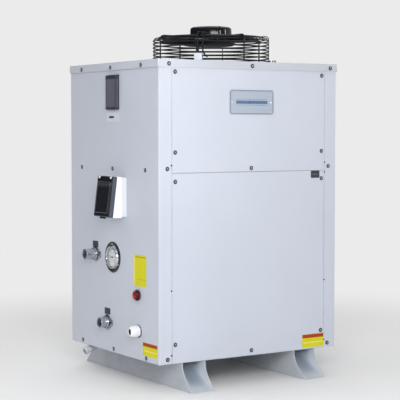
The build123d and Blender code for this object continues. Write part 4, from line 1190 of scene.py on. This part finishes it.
gl.make("gauge_lens", GLASS, slot="clear_glass", replaces=("gauge_glass",), smooth=40)

# ------------------------------------------------------------------ water sockets
def water_socket(tag_, y, z, out, tilt_deg):
    g = Geo()
    o = (X0, y * MM, z * MM)
    p = [(-40, 12.4), (-40, 17.0), (2.3, 17.0), (2.3, 21.3), (3.0, 22.0), (3.9, 22.3), (9.6, 22.3), (10.8, 21.9), (11.6, 20.9), (12.2, 20.2), (13.0, 19.5), (14.2, 19.2)]
    # two shallow grooves and a beaded mouth
    for a in (out - 12.5, out - 7.5):
        p += [(a - 0.8, 19.2), (a - 0.3, 18.7), (a + 0.6, 18.7), (a + 1.1, 19.2)]
    p += [(out - 2.2, 19.4), (out - 1.2, 19.5), (out - 0.4, 19.1), (out, 18.3), (out, 17.0), (out - 0.4, 16.6), (out - 1.2, 16.5), (-40, 16.5)]
    g.lathe([(a * MM, r * MM) for a, r in p[2:]], o, ax, 64, 0)
    # the female thread, in a darker metal that is painted shade inside the bore
    q = [(-40, 16.5), (out - 1.2, 16.5), (out - 0.9, 16.3), (out - 1.4, 15.8)]
    t = out - 2.0
    while t > out - 22:
        q += [(t, 15.25), (t - 0.75, 16.1), (t - 1.5, 15.25)]
        t -= 2.3
    q += [(out - 24, 15.2), (out - 28, 15.0), (out - 29, 12.5), (-40, 12.4)]
    g.lathe([(a * MM, r * MM) for a, r in q], o, ax, 64, 2, closed=True)
    for a_, r_ in ((11.9, 20.8), (3.1, 23.0)):          # dark rings behind the collar and on the plate: painted shade in the groove and round the collar's foot
        g.lathe([((a_ - 0.9) * MM, (r_ - 2.0) * MM), ((a_ - 0.9) * MM, (r_ + 0.1) * MM), (a_ * MM, (r_ + 0.6) * MM), ((a_ + 0.9) * MM, (r_ + 0.1) * MM), ((a_ + 0.9) * MM, (r_ - 2.0) * MM)], o, ax, 48, 1, closed=True)
    g.make(tag_ + "_spout", [SOCKET_M, SEAL_AND_SHADE, SOCKET_BORE_SHADED], slot="polished_metal", replaces=(tag_ + "_socket",), smooth=30)
    f = Geo()
    L, r = 41.0, 20.0
    pts = []
    for i in range(17):
        t = math.radians(-90 + 180 * i / 16)
        pts.append(((L - 12.5) + 12.5 * math.cos(t), 12.5 * math.sin(t)))
    mid = []
    for i in range(9):
        t = math.radians(62 + 56 * i / 8)
        mid.append((26.5 * math.cos(t), 26.5 * math.sin(t)))
    outl = pts + mid + [(-x, y_) for x, y_ in reversed(pts)] + [(-x, -y_) for x, y_ in mid]
    # the two ears lie along Y, as the node does
    f.slab([(x * MM, y_ * MM) for x, y_ in outl], left_plane(y * MM, z * MM, 0.0), 0.0024, 0.0006, 2, 0)
    # painted shadow: a dark rim round the plate's edge
    f.slab([(x * 1.035 * MM, y_ * 1.05 * MM) for x, y_ in outl], left_plane(y * MM, z * MM, 0.0), 0.0008, 0.0002, 1, 1)
    f.make(tag_ + "_plate", [SOCKET_M, SEAL_AND_SHADE], slot="polished_metal", replaces=(tag_ + "_flange",), smooth=30)
    s = Geo()
    for k in (-1, 1):
        stamp(s, PAN, xf(Vector((X0 - 2.3 * MM, (y + 30.5 * k) * MM, z * MM)), ax, 0.4 + k), 0.72)
    s.make(tag_ + "_screws", [DARKMETAL, SEAL_AND_SHADE], slot="polished_metal")


water_socket("outlet", 128.0, 438.0, 46.0, 0)
water_socket("inlet", 42.0, 198.5, 33.0, 0)

# ------------------------------------------------------------------ lamp
LY, LZ = -180.0, 319.0
lo = (X0, LY * MM, LZ * MM)
lb = Geo()
bz = [(-18, 0), (-18, 10.4), (-1.0, 10.8), (0.0, 11.0), (0.0, 18.6), (0.6, 19.0), (5.4, 19.0), (6.6, 18.8), (7.6, 18.2), (8.0, 17.4), (7.8, 16.6), (7.0, 16.1), (2.5, 16.0), (2.5, 0)]
lb.lathe([(a * MM, r * MM) for a, r in bz], lo, ax, 64, 0)
lb.make("lamp_rim", MAROON, slot="dark_plastic", replaces=("lamp_bezel",), smooth=35)
ll = Geo()
le = [(2.5, 0), (2.5, 15.7), (7.0, 15.7), (11.6, 15.3), (13.4, 14.7), (15.2, 13.2), (16.6, 11.2), (17.6, 8.6), (18.4, 5.6), (18.9, 2.6), (19.0, 0)]
ll.lathe([(a * MM, r * MM) for a, r in le], lo, ax, 64, 0)
ll.make("lamp_dome", RED, slot="lamp_red", replaces=("lamp_lens",), smooth=40)

# ------------------------------------------------------------------ cable gland
DY, DZ = -182.0, 194.0
gn = Geo()
SEG = 96
prof = [(-16, 11.0), (-16, 15.2), (1.6, 15.4), (2.0, 15.6), (2.0, 20.0), (2.6, 20.5), (9.0, 20.5), (9.8, 20.1), (10.3, 19.3), (11.2, 19.2), (12.0, 19.8), (12.6, 19.9),
        (20, 19.4), (27, 18.2), (30.5, 17.1), (33.2, 15.6), (35.0, 13.8), (35.9, 12.2), (36.0, 11.4), (35.6, 11.0), (34.0, 10.9), (-10, 10.9)]
verts, faces = [], []
o = Vector((X0, DY * MM, DZ * MM))
for j, (a, r) in enumerate(prof):
    for i in range(SEG):
        t = 2 * math.pi * i / SEG
        rr = r
        if 2.0 <= a <= 9.8 and r > 19.5:                 # six flats on the body nut
            h = math.radians(60)
            q = ((t + h / 2) % h) - h / 2
            rr = min(r, 19.0 / math.cos(q))
        elif 12.0 <= a <= 31 and r > 16.5:               # shallow grip flutes on the dome nut
            rr = r - 0.35 * max(0.0, math.cos(t * 16)) ** 3
        verts.append(o + Vector((-a * MM, rr * math.cos(t) * MM, rr * math.sin(t) * MM)))
n = len(prof)
for j in range(n):
    k = (j + 1) % n
    for i in range(SEG):
        l = (i + 1) % SEG
        faces.append((j * SEG + i, j * SEG + l, k * SEG + l, k * SEG + i))
gn.add(verts, faces, 0)
gn.make("gland_nut", GLAND_WHITE, slot="white_plastic", replaces=("cable_gland",), smooth=38)
gw = Geo()
gw.lathe([(0, 15.7 * MM), (0, 22.2 * MM), (0.0008, 22.5 * MM), (0.0016, 22.0 * MM), (0.0019, 21.4 * MM), (0.0019, 15.7 * MM)], o, ax, 64, 0, closed=True)
# the soft seal inside the mouth, open for the cable
gw.lathe([(a * MM, r * MM) for a, r in [(20, 10.8), (31.5, 10.8), (33.0, 10.4), (33.4, 9.6), (32.6, 8.9), (30.0, 8.6), (20, 8.6)]], o, ax, 48, 0, closed=True)
gw.make("gland_seal", SEAL_AND_SHADE, slot="dark_plastic", replaces=("gland_washer",), smooth=40)

# ------------------------------------------------------------------ drain bend under the pan
A = math.radians(70)
dr = Geo()
c0 = Vector((-0.343, 0.205, 0.095))
p1 = c0 + Vector((0, 0, -0.0115))
p2 = p1 + Vector((-math.sin(A), 0, -math.cos(A))) * 0.042
path = arc_path([c0, p1, p2], 0.015, 10)
dirn = (p2 - p1).normalized()


def pipe(geo, path, prof_r, segs, inner, mi=0):
    pts = [Vector(p) for p in path]
    nn = len(pts)
    u = Vector((0, 1, 0))
    rings = []
    for i, p in enumerate(pts):
        d = (pts[min(i + 1, nn - 1)] - pts[max(i - 1, 0)]).normalized()
        w = d.cross(u).normalized()
        rings.append((p, u, w))
    vv, ff = [], []
    for (p, u_, w), ro_ in zip(rings, prof_r):
        for r in (ro_, inner):
            for k in range(segs):
                t = 2 * math.pi * k / segs
                vv.append(p + (u_ * math.cos(t) + w * math.sin(t)) * r)
    S2 = 2 * segs
    for i in range(nn - 1):
        for k in range(segs):
            l = (k + 1) % segs
            ff.append((i * S2 + k, i * S2 + l, (i + 1) * S2 + l, (i + 1) * S2 + k))
            ff.append((i * S2 + segs + l, i * S2 + segs + k, (i + 1) * S2 + segs + k, (i + 1) * S2 + segs + l))
    for i in (0, nn - 1):
        for k in range(segs):
            l = (k + 1) % segs
            ff.append((i * S2 + k, i * S2 + segs + k, i * S2 + segs + l, i * S2 + l))
    geo.add(vv, ff, mi)


end = path[-1]
ext = [end - dirn * 0.010, end - dirn * 0.0095, end - dirn * 0.0088, end - dirn * 0.001, end]
path2 = path[:-1] + ext
rad = [0.0128] * (len(path) - 1) + [0.0128, 0.0136, 0.0140, 0.0140, 0.0134]
pipe(dr, path2, rad, 36, 0.0104)
dr.lathe([(0, 0.0100), (0, 0.0190), (0.0008, 0.0195), (0.0026, 0.0195), (0.0032, 0.0188), (0.0032, 0.0100)], c0, (0, 0, -1), 36, 0, closed=True)
dr.make("drain_bend", DRAIN_M, slot="white_plastic", replaces=("drain_elbow",), smooth=40)

# ------------------------------------------------------------------ feet: bolts through the side plates into the pan
fb = Geo()
for sx in (-1, 1):
    for k in (-1, 1):
        for y in (-150, 150):
            stamp(fb, HEX, xf(Vector(((sx * 236 + k * 47.0) * MM, y * MM, 0.080)), (k, 0, 0), y), 0.85)
fb.make("foot_bolts_side", ZINC, slot="polished_metal")

# rounded pressings that line the dished toes, with painted shade where they lie deep under the pan
TOE_H, TOE_T = 95.0, 3.0


def toe_edge(z):
    s_ = min(1.0, z / (TOE_H * 0.85))
    return 382.0 - 61.0 * (1 - (1 - s_) ** 1.5)


def toe_web(z):
    s_ = max(0.0, (z - TOE_T) / (TOE_H - TOE_T))
    return 377.0 - 105.0 * (1 - (1 - s_) ** 2.0)


def toe_paint_shaded():
    m = paint("m_foot_dish_shaded", (0.465, 0.495, 0.545), rough=0.46, peel=0.45, low_darkening=0.35, vary=0.05)
    nt = m.node_tree
    b = [n for n in nt.nodes if n.type == "BSDF_PRINCIPLED"][0]
    old = b.inputs["Base Color"].links[0].from_socket
    v = coords(nt)
    sep = nt.nodes.new("ShaderNodeSeparateXYZ")
    nt.links.new(v, sep.inputs[0])
    # painted shade: darker the deeper the dish lies in under the pan
    up = map_range(nt, sep.outputs[2], 0.0, TOE_H * 0.85 * MM, 1.0, 0.0, True)
    edge = math_node(nt, "ADD", 0.321, math_node(nt, "MULTIPLY", math_node(nt, "POWER", up, 1.5), 0.061))
    shade_depth = math_node(nt, "SUBTRACT", edge, math_node(nt, "ABSOLUTE", sep.outputs[1]))
    soft = noise_tex(nt, v, 14.0, 3.0)
    t = math_node(nt, "ADD", map_range(nt, shade_depth, 0.002, 0.044, 0.0, 1.0, True), math_node(nt, "MULTIPLY", math_node(nt, "SUBTRACT", soft, 0.5), 0.10))
    f = ramp(nt, t, [(0.0, (1.0, 1.0, 1.0)), (0.35, (0.86, 0.90, 0.95)), (0.7, (0.52, 0.57, 0.63)), (1.0, (0.24, 0.27, 0.31))])
    nt.links.new(mix_col(nt, 1.0, old, f, "MULTIPLY"), b.inputs["Base Color"])
    return m


toe = Geo()
TU, TV = 28, 20
for sx in (-1, 1):
    for sy in (-1, 1):
        fr, bk = [], []
        for j in range(TV + 1):
            z = TOE_T + 0.6 + (TOE_H - TOE_T - 0.8) * j / TV
            e_, w_ = toe_edge(z) - 1.2, toe_web(z) + 1.4
            for i in range(TU + 1):
                q = -1 + 2 * i / TU
                k_ = abs(q) ** 3.2
                y = w_ + max(0.0, e_ - w_) * k_
                y = min(y, e_)
                fr.append(Vector(((sx * 236 + q * 43.9) * MM, sy * y * MM, z * MM)))
                bk.append(Vector(((sx * 236 + q * 43.9) * MM, sy * (y - 1.0) * MM, z * MM)))
        n0 = (TU + 1) * (TV + 1)
        ix = lambda i, j: j * (TU + 1) + i
        ff = []
        for j in range(TV):
            for i in range(TU):
                a_, b_, c_, d_ = ix(i, j), ix(i + 1, j), ix(i + 1, j + 1), ix(i, j + 1)
                ff.append((a_, b_, c_, d_) if sy < 0 else (d_, c_, b_, a_))
                ff.append((n0 + d_, n0 + c_, n0 + b_, n0 + a_) if sy < 0 else (n0 + a_, n0 + b_, n0 + c_, n0 + d_))
        rim = [ix(i, 0) for i in range(TU)] + [ix(TU, j) for j in range(TV)] + [ix(i, TV) for i in range(TU, 0, -1)] + [ix(0, j) for j in range(TV, 0, -1)]
        for a_, b_ in zip(rim, rim[1:] + rim[:1]):
            ff.append((b_, a_, n0 + a_, n0 + b_) if sy < 0 else (a_, b_, n0 + b_, n0 + a_))
        toe.add(fr + bk, ff, 0)
toe.make("foot_toe_dishes", toe_paint_shaded(), slot="foot_paint", smooth=40)

# ------------------------------------------------------------------ stage
floor = Geo()
R = 30.0
floor.add([(-R, -R, 0), (R, -R, 0), (R, R, 0), (-R, R, 0)], [(0, 1, 2, 3)])
me = bpy.data.meshes.new("floor")
me.from_pydata(floor.v, [], floor.f)
fl = bpy.data.objects.new("floor", me)
bpy.context.scene.collection.objects.link(fl)
fl.location = (0, 0, -0.0005)
fm, nt, b = new_mat("m_floor")
b.inputs["Base Color"].default_value = (0.80, 0.80, 0.80, 1)
b.inputs["Roughness"].default_value = 0.65
b.inputs["Specular IOR Level"].default_value = 0.25
soft = noise_tex(nt, coords(nt), 3.0, 3.0)
nt.links.new(map_range(nt, soft, 0.3, 0.7, 0.60, 0.70), b.inputs["Roughness"])
me.materials.append(fm)

# the same floor running out into the plain backdrop, for the camera only
fo = bpy.data.objects.new("floor_fade", me.copy())
bpy.context.scene.collection.objects.link(fo)
fo.location = (0, 0, -0.0003)
fm2, nt, b = new_mat("m_floor_fade")
tc = nt.nodes.new("ShaderNodeTexCoord")
ln = nt.nodes.new("ShaderNodeVectorMath")
ln.operation = "LENGTH"
nt.links.new(tc.outputs["Object"], ln.inputs[0])
far = map_range(nt, ln.outputs["Value"], 1.15, 2.6, 0.0, 1.0, True)
em = nt.nodes.new("ShaderNodeEmission")
em.inputs["Color"].default_value = (0.831, 0.831, 0.831, 1)
clear = nt.nodes.new("ShaderNodeBsdfTransparent")
mx = nt.nodes.new("ShaderNodeMixShader")
nt.links.new(far, mx.inputs[0])
nt.links.new(clear.outputs[0], mx.inputs[1])
nt.links.new(em.outputs[0], mx.inputs[2])
out = [n for n in nt.nodes if n.type == "OUTPUT_MATERIAL"][0]
nt.links.new(mx.outputs[0], out.inputs[0])
nt.nodes.remove(b)
fo.data.materials.clear()
fo.data.materials.append(fm2)
for flag in ("visible_diffuse", "visible_glossy", "visible_transmission", "visible_volume_scatter", "visible_shadow"):
    setattr(fo, flag, False)

ROOM = 0.035
# plain pale backdrop, seen by the camera only, so that the lights below shape the reflections
dome = Geo()
dome.lathe([(-29.0 * math.cos(math.pi * i / 24), 29.0 * math.sin(math.pi * i / 24)) for i in range(25)], (0, 0, 0), (0, 0, 1), 48, 0)
me = bpy.data.meshes.new("backdrop")
me.from_pydata(dome.v, [], dome.f)
me.shade_smooth()
bd = bpy.data.objects.new("backdrop", me)
bpy.context.scene.collection.objects.link(bd)
bm_, nt, b = new_mat("m_backdrop")
em = nt.nodes.new("ShaderNodeEmission")
em.inputs["Color"].default_value = (0.831, 0.831, 0.831, 1)
out = [n for n in nt.nodes if n.type == "OUTPUT_MATERIAL"][0]
nt.links.new(em.outputs[0], out.inputs[0])
nt.nodes.remove(b)
me.materials.append(bm_)
for flag in ("visible_diffuse", "visible_glossy", "visible_transmission", "visible_volume_scatter", "visible_shadow"):
    setattr(bd, flag, False)

# the room as shiny surfaces see it: dim walls, a soft ceiling, one paler wall
rm = bpy.data.objects.new("room", me.copy())
bpy.context.scene.collection.objects.link(rm)
rm.scale = (0.95, 0.95, 0.95)
rm_, nt, b = new_mat("m_room")
em = nt.nodes.new("ShaderNodeEmission")
em.inputs["Color"].default_value = (1, 1, 1, 1)
tc = nt.nodes.new("ShaderNodeTexCoord")
nm = nt.nodes.new("ShaderNodeVectorMath")
nm.operation = "NORMALIZE"
nt.links.new(tc.outputs["Object"], nm.inputs[0])
sx = nt.nodes.new("ShaderNodeSeparateXYZ")
nt.links.new(nm.outputs[0], sx.inputs[0])
ceil_ = map_range(nt, sx.outputs[2], 0.45, 0.80, 0.0, 1.30, True)
wall = map_range(nt, sx.outputs[0], 0.35, 0.90, 0.0, 0.45, True)
low = map_range(nt, sx.outputs[2], -0.05, -0.30, 0.0, 0.40, True)
nt.links.new(math_node(nt, "ADD", math_node(nt, "ADD", ceil_, wall), math_node(nt, "ADD", low, ROOM)), em.inputs["Strength"])
out = [n for n in nt.nodes if n.type == "OUTPUT_MATERIAL"][0]
nt.links.new(em.outputs[0], out.inputs[0])
nt.nodes.remove(b)
rm.data.materials.clear()
rm.data.materials.append(rm_)
for flag in ("visible_camera", "visible_diffuse", "visible_transmission", "visible_volume_scatter", "visible_shadow"):
    setattr(rm, flag, False)

# soft room light: dim on the camera's side, brighter overhead and behind
W_BASE, W_TOP, W_BACK = 0.12, 0.574, 0.769
world = bpy.data.worlds.new("studio")
bpy.context.scene.world = world
world.use_nodes = True
wn = world.node_tree
bg = wn.nodes["Background"]
bg.inputs[0].default_value = (1, 1, 1, 1)
wc = wn.nodes.new("ShaderNodeTexCoord")
ws = wn.nodes.new("ShaderNodeSeparateXYZ")
wn.links.new(wc.outputs["Generated"], ws.inputs[0])
w_top = map_range(wn, ws.outputs[2], 0.15, 0.80, 0.0, W_TOP, True)
w_back = map_range(wn, ws.outputs[1], -0.10, 0.80, 0.0, W_BACK, True)
wsum = math_node(wn, "ADD", math_node(wn, "ADD", w_top, w_back), W_BASE)
wn.links.new(wsum, bg.inputs[1])
world.cycles_visibility.glossy = False


def area(name, loc, target, size, power, glossy=False, diffuse=True):
    d = bpy.data.lights.new(name, "AREA")
    d.shape = "RECTANGLE"
    d.size, d.size_y = size
    d.energy = power
    o = bpy.data.objects.new(name, d)
    bpy.context.scene.collection.objects.link(o)
    o.location = loc
    o.rotation_euler = (Vector(target) - Vector(loc)).to_track_quat("-Z", "Y").to_euler()
    o.visible_camera = False
    o.visible_glossy = glossy
    o.visible_diffuse = diffuse
    return o


POWER = {"key": 74.0, "back": 0.4}
area("key", (-1.65, -2.8, 1.45), (-0.15, -0.25, 0.5), (1.4, 1.4), POWER["key"])
area("back", (-2.2, 2.0, 1.8), (-0.3, 0.2, 0.3), (1.6, 1.6), POWER["back"])


def card(name, az, dist, z, width, height, power):
    """a reflector card that shows in shiny surfaces only; az in degrees from the front face towards the service side"""
    t = math.radians(az)
    return area(name, (-math.sin(t) * dist, -math.cos(t) * dist, z), (0, 0, 1.0), (width, height), power, True, False)


card("card_main", 14, 3.2, 1.34, 2.5, 1.0, 78.0)
card("card_strip_a", -21, 3.2, 1.34, 0.34, 1.1, 13.0)
card("card_strip_b", -56, 3.2, 1.34, 0.34, 1.1, 12.0)

sc = bpy.context.scene
sc.view_settings.view_transform = "Standard"
sc.view_settings.look = "None"
sc.view_settings.exposure = 0.0
sc.view_settings.gamma = 1.0
